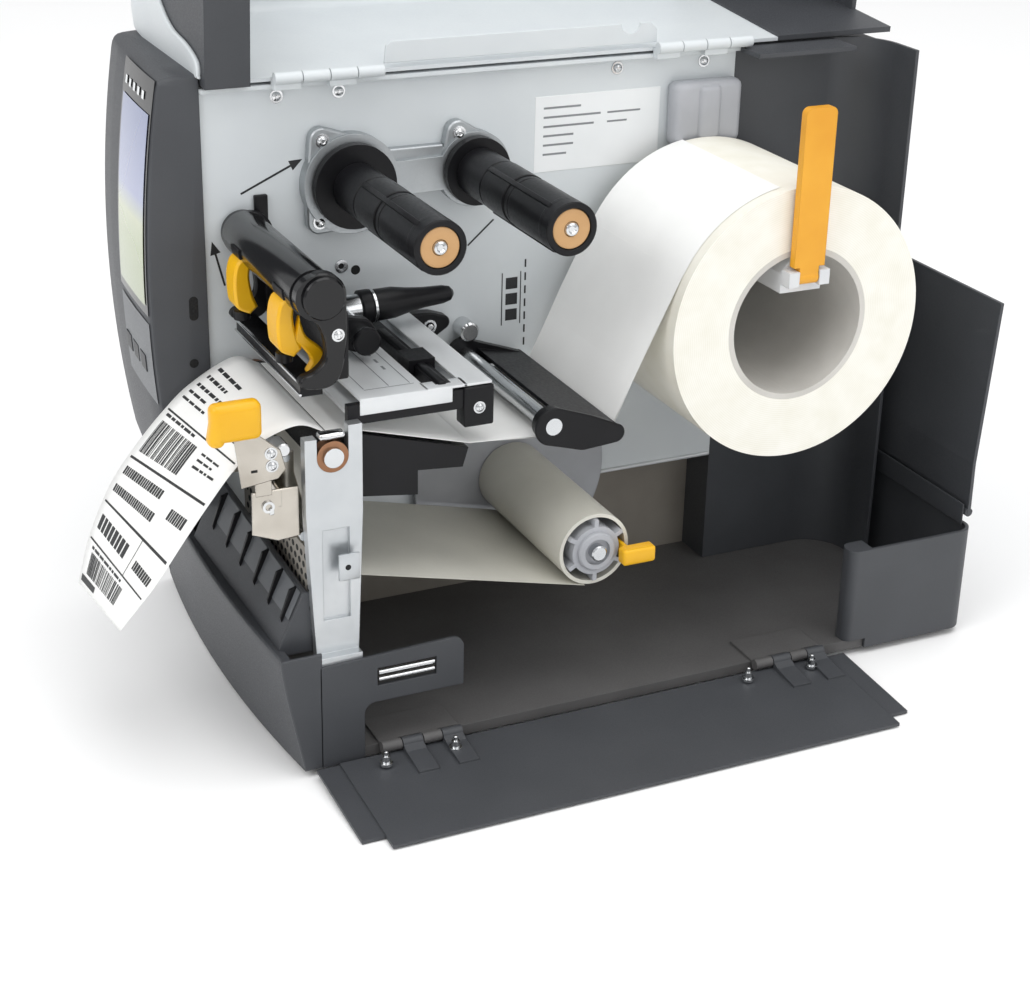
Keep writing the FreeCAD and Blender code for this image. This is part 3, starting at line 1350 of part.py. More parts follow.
def build_electronics():
    """Main board on posts, power supply, and the rear panel with its inlet, ports and switch."""
    board = block(
        "board",
        ("board_x", "board_x + board_sheet"),
        ("board_front_y", "board_rear_y"),
        ("board_low_z", "board_high_z"),
    )
    posts = []
    for y in ("board_front_y + board_inset", "board_rear_y - board_inset"):
        for z in ("board_low_z + board_inset", "board_high_z - board_inset"):
            posts.append(rod("board_post", "x", "board_post_r", (y, z), "board_x", "wall_x - skin"))
    node("main_board", fuse("board_solid", board, *posts))
    node(
        "power_supply",
        block(
            "supply_box",
            ("supply_box_x", "supply_box_end_x"),
            ("supply_box_y", "supply_box_end_y"),
            ("floor_z", "supply_box_top_z"),
        ),
    )

    opening = rectangle(
        ("inlet_x - switch_half - switch_gap", "inlet_x + switch_half + switch_gap"),
        ("switch_z - switch_gap", "switch_z + switch_tall + switch_gap"),
    )
    panel = plate(
        "port_panel", "y", "cover_rear_y - 2 * cover_sheet", "cover_rear_y - cover_sheet",
        rectangle(
            ("back_x + cover_sheet", "wall_x - skin"), ("floor_z", "cover_top_z - cover_round - cover_sheet")
        ), [opening],
    )
    rear = "cover_rear_y - cover_sheet"
    inlet = block(
        "inlet_frame",
        ("inlet_x - inlet_half", "inlet_x + inlet_half"),
        (rear, f"{rear} + inlet_proud"),
        ("inlet_low_z", "inlet_low_z + inlet_tall"),
    )
    well = block(
        "inlet_well",
        ("inlet_x - inlet_half + 2", "inlet_x + inlet_half - 2"),
        (f"{rear} + 0.2", f"{rear} + inlet_proud + 1"),
        ("inlet_low_z + 2", "inlet_low_z + inlet_tall - 2"),
    )
    parts = [panel, cut("inlet", inlet, well)]
    for number in range(int(SIZES["port_count"])):
        low = f"port_low_z + {number} * port_pitch"
        rim = block(
            "port_rim",
            ("port_x - port_half", "port_x + port_half"),
            (rear, f"{rear} + 1.2"),
            (low, f"{low} + port_tall"),
        )
        mouth = block(
            "port_mouth",
            ("port_x - port_half + 1", "port_x + port_half - 1"),
            (f"{rear} + 0.2", f"{rear} + 2"),
            (f"{low} + 1", f"{low} + port_tall - 1"),
        )
        parts.append(cut("port", rim, mouth))
    pin_y = f"{rear} - cover_sheet * 0.5"
    pin_z = "switch_z + switch_tall * 0.5"
    parts.append(
        rod(
            "switch_pin", "x", "switch_pin_r", (pin_y, pin_z),
            "inlet_x - switch_half - switch_gap - 1", "inlet_x + switch_half + switch_gap + 1",
        )
    )
    node("rear_port_panel", fuse("rear_panel", *parts))

    rocker = plate(
        "rocker", "x", "inlet_x - switch_half", "inlet_x + switch_half",
        [
            (f"{pin_y} - 3", "switch_z + 2"),
            (f"{rear} + 0.4", "switch_z + 0.6"),
            (f"{rear} + 1", pin_z),
            (f"{rear} + 3", "switch_z + switch_tall - 0.6"),
            (f"{pin_y} - 3", "switch_z + switch_tall - 2"),
        ],
    )
    hole = rod(
        "rocker_hole", "x", "switch_pin_r + run_gap", (pin_y, pin_z),
        "inlet_x - switch_half - 1", "inlet_x + switch_half + 1",
    )
    node("power_switch", cut("switch", rocker, hole))


def write_parts():
    """Check every object and write one file for each registered piece."""
    doc.recompute()
    bad = [o.Name for o in doc.Objects if "Invalid" in o.State or "Error" in o.State]
    if bad:
        raise RuntimeError(f"objects in error: {bad}")
    os.makedirs("parts", exist_ok=True)
    for label, thing in nodes.items():
        if thing.Shape.isNull() or not thing.Shape.isValid():
            raise RuntimeError(f"{label} has no valid shape")
        thing.Shape.exportStep(os.path.join("parts", f"{label}.step"))
    print(len(nodes), "pieces written")


fill_sheet()
corner_box = build_base()
build_front()
build_walls()
build_controls()
build_door()
build_flaps(corner_box)
build_head()
build_ribbon()
build_platen()
build_media()
build_liner()
build_peel()
build_electronics()
write_parts()
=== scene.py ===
import math

import bmesh
import bpy
import numpy as np
from mathutils import Matrix


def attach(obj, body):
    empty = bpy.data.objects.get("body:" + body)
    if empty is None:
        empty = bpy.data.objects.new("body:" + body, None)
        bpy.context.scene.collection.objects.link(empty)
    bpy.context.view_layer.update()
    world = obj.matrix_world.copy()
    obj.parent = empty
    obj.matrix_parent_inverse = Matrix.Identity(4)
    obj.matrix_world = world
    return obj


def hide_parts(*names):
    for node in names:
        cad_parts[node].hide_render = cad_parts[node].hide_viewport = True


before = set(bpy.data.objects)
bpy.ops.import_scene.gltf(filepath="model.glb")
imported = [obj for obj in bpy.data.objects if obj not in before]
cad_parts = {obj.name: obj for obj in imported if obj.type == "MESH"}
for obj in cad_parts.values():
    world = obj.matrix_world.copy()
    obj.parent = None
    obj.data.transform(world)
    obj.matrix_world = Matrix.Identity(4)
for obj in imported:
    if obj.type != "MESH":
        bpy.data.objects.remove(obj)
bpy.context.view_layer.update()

MM = 0.001
AXES = {"x": (0, 1, 2), "y": (1, 0, 2), "z": (2, 0, 1)}

# Places shared by several pieces, in millimetres: the wall's face in X, then axes along X as (Y, Z)
WALL = -5.0
ROLL_AXIS = (94, 203)
LINER_AXIS = (-16, 91)
TAKE_UP_AXIS = (-109, 268.5)
SUPPLY_AXIS = (-41, 270)
HEAD_BAR = (-167, 249)
HEAD_END = (-164.5, 249)
LEVER_PIVOT = (-125, 206)
SCREEN_FOOT, SCREEN_HEAD = 213, 310


# Shapes: each is an array of points in millimetres and a list of faces

def lattice(points, wrap_u=False, wrap_v=False):
    """Quads between the neighbours of an n by m grid of points."""
    n, m = points.shape[:2]
    i = np.arange(n if wrap_u else n - 1)[:, None]
    j = np.arange(m if wrap_v else m - 1)[None, :]
    a = i * m + j
    b = ((i + 1) % n) * m + j
    c = ((i + 1) % n) * m + (j + 1) % m
    d = i * m + (j + 1) % m
    return points.reshape(-1, 3), np.stack([a, b, c, d], -1).reshape(-1, 4).tolist()


def on_axis(axis, along, u, v):
    """Points whose first value lies along the named axis and the other two across it."""
    out = np.stack(np.broadcast_arrays(along, u, v), -1).astype(float)
    result = np.empty_like(out)
    result[..., list(AXES[axis])] = out
    return result


def at_width(x, outline):
    """Points of an outline of (Y, Z) in the plane at one width."""
    return on_axis("x", x, outline[:, 0], outline[:, 1])


def smooth(points, count):
    """Points at even steps of a Catmull-Rom cubic through the given points."""
    p = np.asarray(points, float)
    p = np.vstack([2 * p[0] - p[1], p, 2 * p[-1] - p[-2]])
    t = np.linspace(0, len(p) - 3, count)
    k = np.minimum(t.astype(int), len(p) - 4)
    f = (t - k)[:, None]
    a, b, c, d = p[k], p[k + 1], p[k + 2], p[k + 3]
    square_term = (2 * a - 5 * b + 4 * c - d) * f ** 2
    cubic_term = (3 * b - a - 3 * c + d) * f ** 3
    return 0.5 * (2 * b + (c - a) * f + square_term + cubic_term)


def arc(centre, radius, start, end, count=10):
    """Points of a circle about a centre, from one angle to another in degrees."""
    t = np.radians(np.linspace(start, end, count))
    return np.stack([centre[0] + radius * np.cos(t), centre[1] + radius * np.sin(t)], 1)


def hull(*circles, count=48):
    """Outline round several circles: in each direction, the point of the circle that reaches furthest."""
    t = np.linspace(0, 2 * math.pi, count, endpoint=False)
    way = np.stack([np.cos(t), np.sin(t)], 1)
    centre = np.array([c for c, _ in circles], float)
    radius = np.array([r for _, r in circles], float)
    best = (way @ centre.T + radius).argmax(1)
    return centre[best] + radius[best, None] * way


def inset(outline, depth):
    """Outline moved inwards along the mean of the normals of the two edges at each corner."""
    edge = np.roll(outline, -1, 0) - outline
    normal = np.stack([-edge[:, 1], edge[:, 0]], 1) / np.linalg.norm(edge, axis=1)[:, None]
    before = np.roll(normal, 1, 0)
    return outline + depth * (normal + before) / (1 + (normal * before).sum(1))[:, None].clip(0.4)


def extruded(axis, low, high, outline, edge=0.4):
    """Outline carried along an axis, with a small chamfer round both ends."""
    outline = np.asarray(outline, float)
    turn = np.roll(outline, -1, 0)
    if (outline[:, 0] * turn[:, 1] - turn[:, 0] * outline[:, 1]).sum() < 0:
        outline = outline[::-1]
    small = inset(outline, edge)
    rings = np.stack([
        on_axis(axis, low, small[:, 0], small[:, 1]),
        on_axis(axis, low + edge, outline[:, 0], outline[:, 1]),
        on_axis(axis, high - edge, outline[:, 0], outline[:, 1]),
        on_axis(axis, high, small[:, 0], small[:, 1]),
    ])
    points, faces = lattice(rings, wrap_v=True)
    n = len(outline)
    return points, faces + [list(range(n))[::-1], list(range(3 * n, 4 * n))]


def turned(axis, centre, profile, steps=40, ring=False):
    """Profile of (place along the axis, radius) turned once round the axis through a centre."""
    p = np.asarray(profile, float)
    t = np.linspace(0, 2 * math.pi, steps, endpoint=False)[None, :]
    grid = on_axis(axis, p[:, :1], centre[0] + p[:, 1:] * np.cos(t), centre[1] + p[:, 1:] * np.sin(t))
    points, faces = lattice(grid, wrap_u=ring, wrap_v=True)
    if not ring:
        last = (len(p) - 1) * steps
        faces = faces + [list(range(steps))[::-1], list(range(last, last + steps))]
    return points, faces


def disc(axis, centre, low, high, radius, steps=20):
    """Plain round disc from one place along an axis to another."""
    return turned(axis, centre, [(low, radius), (high, radius)], steps)


def washer(centre, low, high, outer, inner):
    """Flat ring about an axis along X, from one width to another."""
    profile = [(low, outer), (high, outer), (high, inner), (low, inner)]
    return turned("x", centre, profile, 24, ring=True)


def screw(centre, face, radius, height):
    """Pan-head screw: a low dome over a washer, standing on a face and pointing out along X."""
    steps = [
        (0, 1.45), (0.25, 1.45), (0.25, 1.0), (0.6, 0.98), (0.85, 0.8), (1.0, 0.45), (0.8, 0.3), (0.8, 0.001)]
    return turned("x", centre, [(face + height * h, radius * r) for h, r in steps], 20)


def rounded(low, high, edge=1.0, steps=4):
    """Box with round edges: an eighth of a ball at each corner, with flat faces between them."""
    low, high = np.asarray(low, float), np.asarray(high, float)
    edge = min(edge, 0.49 * (high - low).min())
    part = np.radians(np.linspace(0, 90, steps))
    around = np.concatenate([part + q * math.pi / 2 for q in range(4)])
    side = np.repeat(np.array([[1, 1], [-1, 1], [-1, -1], [1, -1]]), steps, 0)
    rise = np.concatenate([part[::-1], -part])
    level = np.repeat([1, -1], steps)
    half = (high - low) / 2 - edge
    x = side[None, :, 0] * half[0] + edge * np.cos(rise)[:, None] * np.cos(around)[None, :]
    y = side[None, :, 1] * half[1] + edge * np.cos(rise)[:, None] * np.sin(around)[None, :]
    z = np.broadcast_to((level * half[2] + edge * np.sin(rise))[:, None], x.shape)
    points, faces = lattice(np.stack([x, y, z], -1), wrap_v=True)
    last = (2 * steps - 1) * 4 * steps
    faces = faces + [[0, steps, 2 * steps, 3 * steps], [last + k * steps for k in (3, 2, 1, 0)]]
    return points + (low + high) / 2, faces


def swept(path, radius, steps=10):
    """Circle of a radius carried square to a path of points, closed at both ends."""
    path = np.asarray(path, float)
    along = np.gradient(path, axis=0)
    along /= np.linalg.norm(along, axis=1)[:, None]
    spare = np.where(np.abs(along[:, :1]) < 0.8, [[1.0, 0, 0]], [[0, 0, 1.0]])
    first = np.cross(along, spare)
    first /= np.linalg.norm(first, axis=1)[:, None]
    second = np.cross(along, first)
    t = np.linspace(0, 2 * math.pi, steps, endpoint=False)[None, :, None]
    grid = path[:, None] + radius * (first[:, None] * np.cos(t) + second[:, None] * np.sin(t))
    points, faces = lattice(grid, wrap_v=True)
    last = (len(path) - 1) * steps
    return points, faces + [list(range(steps)), list(range(last, last + steps))[::-1]]


def straight(start, end, radius):
    """Round bar of a radius from one point to another."""
    return swept(np.linspace(start, end, 9), radius)


def lofted(sections):
    """Closed sections of equal point count, skinned one to the next and closed at both ends."""
    grid = np.stack(sections)
    points, faces = lattice(grid, wrap_v=True)
    n, m = grid.shape[:2]
    return points, faces + [list(range(m))[::-1], list(range((n - 1) * m, n * m))]


def tilted(shape, degrees, about):
    """Shape turned by an angle about a line along X through a point."""
    points, faces = shape
    turn = np.array(Matrix.Rotation(math.radians(degrees), 3, "X"))
    return (points - about) @ turn.T + about, faces


def patch(surface, u0, u1, v0, v1, nu=1, nv=1):
    """Rectangle of a surface function of u and v, cut into a grid."""
    u, v = np.meshgrid(np.linspace(u0, u1, nu + 1), np.linspace(v0, v1, nv + 1), indexing="ij")
    return lattice(surface(u, v))


def make(name, shapes, material, body="chassis", replaces=(), angle=32, closed=True):
    """One object of several shapes: merged points, outward faces, smooth below an angle, on a body."""
    start = np.cumsum([0] + [len(points) for points, _ in shapes])
    points = np.concatenate([points for points, _ in shapes]) * MM
    faces = [[k + s for k in face] for (_, some), s in zip(shapes, start) for face in some]
    mesh = bpy.data.meshes.new(name)
    mesh.from_pydata(points.tolist(), [], faces)
    work = bmesh.new()
    work.from_mesh(mesh)
    if closed:
        bmesh.ops.remove_doubles(work, verts=work.verts, dist=1e-7)
        bmesh.ops.recalc_face_normals(work, faces=work.faces)
    work.to_mesh(mesh)
    work.free()
    mesh.shade_smooth()
    mesh.set_sharp_from_angle(angle=math.radians(angle))
    mesh.materials.append(material)
    piece = bpy.data.objects.new(name, mesh)
    bpy.context.scene.collection.objects.link(piece)
    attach(piece, body)
    if replaces:
        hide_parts(*replaces)
    return piece


# Materials

# Width of one soft patch of shade on a surface
CLOUD_MM = 38
# One turn of wound label stock, drawn coarser than its real 0.15 mm so that it shows
RING_MM = 1.1


def linear(text):
    """Linear colour of an sRGB hex value."""
    part = np.array([int(text[k:k + 2], 16) for k in (1, 3, 5)]) / 255
    part = np.where(part <= 0.04045, part / 12.92, ((part + 0.055) / 1.055) ** 2.4)
    return (*part.tolist(), 1.0)


def add(tree, kind, links=None, **settings):
    """Adds a shader node with its settings, and fills its sockets with values or links."""
    item = tree.nodes.new("ShaderNode" + kind)
    for key, setting in settings.items():
        setattr(item, key, setting)
    for key, source in (links or {}).items():
        if isinstance(source, bpy.types.NodeSocket):
            tree.links.new(source, item.inputs[key])
        else:
            item.inputs[key].default_value = source
    return item


def begin(name, rough, metallic=0.0, **sockets):
    """New material: its tree, its shader and its Object coordinates."""
    material = bpy.data.materials.new(name)
    material.use_nodes = True
    tree = material.node_tree
    tree.nodes.clear()
    shader = add(tree, "BsdfPrincipled", {"Roughness": rough, "Metallic": metallic, **sockets})
    add(tree, "OutputMaterial", {"Surface": shader.outputs[0]})
    return material, tree, shader, add(tree, "TexCoord").outputs["Object"]


def grained(
        name, light, dark, rough, grain_mm, depth_mm,
        metallic=0.0, edge_mm=0.5, stretch=(1, 1, 1), **sockets):
    """Two near shades mixed by soft noise, with a grain of a real size in bump and round edges."""
    material, tree, shader, where = begin(name, rough, metallic, **sockets)
    broad = add(tree, "TexNoise", {"Vector": where, "Scale": 1 / (CLOUD_MM * MM), "Detail": 4.0})
    shade = add(tree, "ValToRGB", {"Fac": broad.outputs[0]})
    shade.color_ramp.elements[0].position = 0.3
    shade.color_ramp.elements[0].color = linear(dark)
    shade.color_ramp.elements[1].position = 0.7
    shade.color_ramp.elements[1].color = linear(light)
    tree.links.new(shade.outputs[0], shader.inputs["Base Color"])
    scaled = add(tree, "Mapping", {"Vector": where, "Scale": stretch})
    grain = add(tree, "TexNoise", {"Vector": scaled.outputs[0], "Scale": 1 / (grain_mm * MM), "Detail": 3.0})
    spread = add(tree, "MapRange", {
        "Value": grain.outputs[0], "From Min": 0.3, "From Max": 0.7,
        "To Min": rough * 0.82, "To Max": rough * 1.2,
    })
    tree.links.new(spread.outputs[0], shader.inputs["Roughness"])
    edge = add(tree, "Bevel", {"Radius": edge_mm * MM}, samples=4)
    bump = add(tree, "Bump", {
        "Strength": 0.5, "Distance": depth_mm * MM,
        "Height": grain.outputs[0], "Normal": edge.outputs[0],
    })
    tree.links.new(bump.outputs[0], shader.inputs["Normal"])
    return material


# Fine grains of plastics, papers and inks are drawn coarser than the real ones so that they show

# Powder coat on sheet steel: satin, with the faint ripple of sprayed paint
PALE_COAT = grained("powder_coated_steel", "#D6DBDD", "#D1D6D9", 0.42, 1.4, 0.03)
# Charcoal ABS from an etched mould: even and dull, with a fine grain that takes the shine off
CHARCOAL = grained("etched_charcoal_abs", "#434549", "#3E4044", 0.5, 0.6, 0.03, edge_mm=0.7)
# Textured coat on the steel of the base: flatter and browner than the plastic round it
DARK_PAN = grained("dark_coated_steel", "#5A5959", "#515050", 0.55, 0.7, 0.03, edge_mm=0.5)
# Black acetal: smooth moulded and slightly waxy
BLACK = grained("black_acetal", "#17171A", "#101012", 0.34, 1.6, 0.008, **{"Specular IOR Level": 0.22})
# Black lacquer on steel: deep, with long clear highlights
BLACK_GLOSS = grained(
    "black_lacquered_steel", "#141416", "#0D0D0F", 0.14, 2.5, 0.004, **{"Specular IOR Level": 0.4})
# Yellow acetal: coloured right through, so its shade hardly changes
YELLOW = grained("yellow_acetal", "#F0B90F", "#E6AB05", 0.34, 1.8, 0.012, edge_mm=0.8)
# Amber acetal: the same sheen in a warmer shade
AMBER = grained("amber_acetal", "#EBAA2A", "#E09B1C", 0.36, 1.8, 0.012, edge_mm=0.8)
# Grey moulded acetal: cool and plain, with a soft sheen
GREY = grained("grey_acetal", "#B3B5BA", "#A3A5AA", 0.42, 1.4, 0.015)
# White moulded acetal: soft sheen, a shade below pure white
WHITE_PLASTIC = grained("white_acetal", "#DCDDDE", "#CFD1D3", 0.4, 1.4, 0.012)
# ABS of the moulded keys: nearly black, with a fine dull grain
KEY = grained("moulded_key_abs", "#2C2D30", "#242528", 0.45, 0.5, 0.015)
# Grey polyester overlay: mid grey and flat
KEY_PANEL = grained("grey_polyester_overlay", "#63666A", "#5A5D61", 0.4, 0.6, 0.012)
# Zinc-plated sheet: bright and slightly cloudy, with rolling marks drawn out along X
ZINC = grained("zinc_plated_sheet", "#CBCED0", "#BEC2C5", 0.34, 4.0, 0.004, 0.85, stretch=(0.15, 1, 1))
# Tray sheet: the same plating, made paler and less metallic than the zinc as a painted reflection of the
# bright surroundings
TRAY = grained("zinc_painted_bright", "#E2E4E5", "#D3D6D8", 0.34, 4.0, 0.004, 0.3, stretch=(0.15, 1, 1))
# Nickel-plated sheet: warmer than zinc, with broad clear reflections
NICKEL = grained("nickel_plated_sheet", "#D2CDC4", "#A8A197", 0.2, 15.0, 0.003, 1.0, stretch=(1, 1, 0.5))
# Ground steel shaft: grinding marks run round it
STEEL = grained("ground_steel", "#D8DADB", "#BFC2C5", 0.2, 0.8, 0.008, 1.0, edge_mm=0.3, stretch=(4, 1, 1))
# Polished screw steel: small sharp glints
CHROME = grained("bright_screw_steel", "#E2E3E4", "#C6C8CA", 0.16, 1.2, 0.01, 1.0, edge_mm=0.2)
# Sintered bronze bush: porous and dull copper brown
BRONZE = grained("sintered_bronze", "#A57C60", "#7E573F", 0.38, 0.7, 0.03, 1.0, edge_mm=0.3)
# Cast aluminium plate: sand-like skin
CAST = grained("cast_aluminium", "#BCC0C2", "#A4A8AB", 0.42, 1.1, 0.05, 0.9)
# Ground platen rubber: dull and almost black
PLATEN_RUBBER = grained("ground_platen_rubber", "#2A2A2B", "#202021", 0.7, 0.8, 0.02)
# Moulded foot rubber: blacker and duller still
FOOT_RUBBER = grained("moulded_foot_rubber", "#1D1D1E", "#161617", 0.8, 1.0, 0.03)
# Pressed fibre of the friction discs: matt tan
TAN = grained("pressed_tan_fibre", "#CFA574", "#BE9260", 0.6, 0.7, 0.03, edge_mm=0.2)
# Black printing ink: flat and even, with no thickness to see
INK = grained("printed_ink", "#2B2C2E", "#1F2022", 0.6, 0.6, 0.001, edge_mm=0.01)
# Grey printing ink: flat and faint
GREY_INK = grained("pale_printed_ink", "#8A8D90", "#7C7F82", 0.6, 0.6, 0.001, edge_mm=0.01)
# Painted shade: a near-black colour that stands in for the shade inside a hole or slot, so dark that no depth
# shows
SHADOW = grained("painted_hole_shade", "#101011", "#0B0B0C", 0.7, 1.0, 0.01)
# Lacquered circuit board: smooth dark green
BOARD = grained("green_circuit_board", "#2C6B46", "#235A3A", 0.35, 1.2, 0.01)
# Coated label paper: white and smooth, a faint fibre cloud
LABEL_PAPER = grained("coated_label_paper", "#F6F6F4", "#F0F0EE", 0.5, 0.9, 0.01, edge_mm=0.05)
# Matt film sticker: a cooler white than the paper
STICKER = grained("matt_white_sticker", "#EEF0F1", "#E6E9EA", 0.5, 0.9, 0.006, edge_mm=0.1)
# Glassine liner: greyish cream with a slight sheen
LINER_PAPER = grained("glassine_liner_paper", "#D6D4CA", "#CBC9BF", 0.38, 1.2, 0.008, edge_mm=0.05)
# Wound core board: matt warm grey
CORE_BOARD = grained("grey_core_board", "#D2CFC9", "#C2BFB9", 0.7, 1.0, 0.03)
# Slate-grey coated sheet: smooth and cool
SLATE = grained("slate_coated_sheet", "#8C9499", "#868E93", 0.4, 1.6, 0.02)
# Brushed steel panel: warm grey with fine upright strokes
LOWER_STEEL = grained(
    "brushed_steel_panel", "#A09A91", "#938D84", 0.36, 5.0, 0.004, 0.4, stretch=(1, 1, 0.15))


def roll_paper():
    """Wound label stock: the sine of the distance from the roll's axis makes fine rings on its ends."""
    material, tree, shader, where = begin("wound_label_paper", 0.55)
    to_axis = (0, -ROLL_AXIS[0] * MM, -ROLL_AXIS[1] * MM)
    moved = add(tree, "Mapping", {"Vector": where, "Location": to_axis}, vector_type="POINT")
    flat = add(tree, "VectorMath", {0: moved.outputs[0], 1: (0, 1, 1)}, operation="MULTIPLY")
    reach = add(tree, "VectorMath", {0: flat.outputs[0]}, operation="LENGTH")
    per_metre = 2 * math.pi / (RING_MM * MM)
    turns = add(tree, "Math", {0: reach.outputs["Value"], 1: per_metre}, operation="MULTIPLY")
    wave = add(tree, "Math", {0: turns.outputs[0]}, operation="SINE")
    cloud = add(tree, "TexNoise", {"Vector": where, "Scale": 1 / (16 * MM), "Detail": 3.0})
    mix = add(tree, "Math", {0: wave.outputs[0], 1: 0.16, 2: cloud.outputs[0]}, operation="MULTIPLY_ADD")
    shade = add(tree, "ValToRGB", {"Fac": mix.outputs[0]})
    shade.color_ramp.elements[0].position = 0.2
    shade.color_ramp.elements[0].color = linear("#E9E6D9")
    shade.color_ramp.elements[1].position = 0.8
    shade.color_ramp.elements[1].color = linear("#F4F2EA")
    tree.links.new(shade.outputs[0], shader.inputs["Base Color"])
    bump = add(tree, "Bump", {"Strength": 0.25, "Distance": 0.02 * MM, "Height": wave.outputs[0]})
    tree.links.new(bump.outputs[0], shader.inputs["Normal"])
    return material


def display_glass():
    """Lit panel under glass: the height up the screen runs the colour from olive through grey to blue."""
    coat = {"Coat Weight": 0.6, "Coat Roughness": 0.05}
    material, tree, shader, where = begin("display_glass", 0.12, **coat)
    part = add(tree, "SeparateXYZ", {"Vector": where})
    rise = add(tree, "MapRange", {
        "Value": part.outputs["Z"], "From Min": (SCREEN_FOOT + 1) * MM, "From Max": (SCREEN_HEAD - 1) * MM})
    shade = add(tree, "ValToRGB", {"Fac": rise.outputs[0]})
    ramp = shade.color_ramp
    ramp.elements[0].color = linear("#7E8A5E")
    ramp.elements[1].color = linear("#5E6B96")
    for place, tint in ((0.28, "#8F9B6E"), (0.42, "#A7AE8C"), (0.55, "#7D86AD")):
        ramp.elements.new(place).color = linear(tint)
    tree.links.new(shade.outputs[0], shader.inputs["Base Color"])
    tree.links.new(shade.outputs[0], shader.inputs["Emission Color"])
    shader.inputs["Emission Strength"].default_value = 0.12
    return material


def clear_pane():
    """Clear acrylic: light passes, with a faint grey cast."""
    material, tree, shader, where = begin(
        "clear_acrylic", 0.06, IOR=1.49, **{"Transmission Weight": 0.92, "Base Color": linear("#E4E8EA")}
    )
    haze = add(tree, "TexNoise", {"Vector": where, "Scale": 1 / (20 * MM)})
    spread = add(tree, "MapRange", {"Value": haze.outputs[0], "To Min": 0.04, "To Max": 0.1})
    tree.links.new(spread.outputs[0], shader.inputs["Roughness"])
    return material


def floor_paint():
    """Matt white studio floor with a trace of mottling."""
    material, tree, shader, where = begin("matt_floor_paint", 0.9)
    cloud = add(tree, "TexNoise", {"Vector": where, "Scale": 0.8})
    shade = add(tree, "ValToRGB", {"Fac": cloud.outputs[0]})
    shade.color_ramp.elements[0].color = linear("#FAFAFA")
    shade.color_ramp.elements[1].color = linear("#FEFEFE")
    tree.links.new(shade.outputs[0], shader.inputs["Base Color"])
    return material


ROLL_PAPER = roll_paper()
DISPLAY = display_glass()
PANE = clear_pane()

NODE_FINISH = {
    PALE_COAT: "centre_wall door_panel",
    CHARCOAL: "front_bezel ribbed_plate front_side_plate rear_corner_box rear_cover electronics_cover "
              "door_front_cap door_rear_cap control_housing rear_flap lower_flap",
    DARK_PAN: "base_pan",
    SLATE: "rear_port_panel",
    LOWER_STEEL: "lower_wall_panel",
    FOOT_RUBBER: "rubber_feet",
    DISPLAY: "touch_screen",
    CAST: "ribbon_casting drive_motor",
    ZINC: "side_bracket power_supply",
    # The tray takes the zinc made bright as a painted reflection
    TRAY: "media_tray",
    BRONZE: "platen_bearings",
    BLACK: "print_head_strip tray_rail media_guide head_carrier head_lever take_up_spindle supply_spindle "
           "sensor_slider dancer_arm motor_pulley power_switch",
    BLACK_GLOSS: "head_crossbar",
    STEEL: "guide_shafts platen_shaft peel_roller",
    WHITE_PLASTIC: "media_hanger",
    LABEL_PAPER: "label_web printed_label",
    LINER_PAPER: "liner_web liner_wrap",
    ROLL_PAPER: "label_roll",
    CORE_BOARD: "roll_core",
    GREY: "liner_spindle",
    YELLOW: "near_toggle far_toggle liner_hook peel_tab",
    AMBER: "roll_guide_flap",
    NICKEL: "peel_frame",
    PLATEN_RUBBER: "platen_roller drive_belt",
    BOARD: "main_board",
    KEY: "right_key middle_key left_key",
    PANE: "door_window",
}
for finish, names in NODE_FINISH.items():
    for node in names.split():
        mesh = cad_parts[node].data
        mesh.materials.clear()
        mesh.materials.append(finish)


# Controls: one bowed front for the housing, the display and the key panel

HOUSING_NEAR, HOUSING_WIDE = -3, 115
HOUSING_FOOT, HOUSING_TOP = 100.5, 329
HOUSING_BACK = -186.0
FRONT_LOW, FRONT_HIGH = 108, 321
FRONT_BOW = 8
FRONT = np.polyfit((HOUSING_FOOT, 208, HOUSING_TOP), (-205, -216, -206), 2)
# Each width of the housing, and how far its section shrinks there to round the end
HOUSING_STEPS = (
    (-118, 2.6), (-117.2, 1.0), (-115.4, 0.0), (-90, 0.0), (-60, 0.0), (-30, 0.0), (-5.6, 0.0), (-3.8, 1.0),
    (HOUSING_NEAR, 2.6))


def front_face(x, z, lift=0.0):
    """Front of the housing: a parabola up its height, bowed back by a square across its width."""
    y = np.polyval(FRONT, z) + FRONT_BOW * ((HOUSING_NEAR - x) / HOUSING_WIDE) ** 2 - lift
    return np.stack(np.broadcast_arrays(x, y, z), -1)


def on_front(x0, x1, z0, z1, lift, nu=6, nv=16):
    """Rectangle of the housing's front, standing off it by a lift."""
    return patch(lambda x, z: front_face(x, z, lift), x0, x1, z0, z1, nu, nv)


def housing_section(x, shrink):
    """Section of the housing at one width: bowed front, round corners and a flat back."""
    z = np.linspace(FRONT_LOW + shrink, FRONT_HIGH - shrink, 25)
    front = front_face(np.full_like(z, x), z, -shrink)[:, 1:]
    top, low = front[-1], front[0]
    head, foot = (HOUSING_BACK, HOUSING_TOP - shrink), (HOUSING_BACK, HOUSING_FOOT + shrink)
    over = np.array([top, top + (1.2, 4.2), top + (4.5, 7.0 - 0.4 * shrink), head])
    under = np.array([foot, low + (4.5, -6.2), low + (1.2, -3.6), low])
    return at_width(x, np.vstack([front, smooth(over, 9)[1:], smooth(under, 9)[:-1]]))


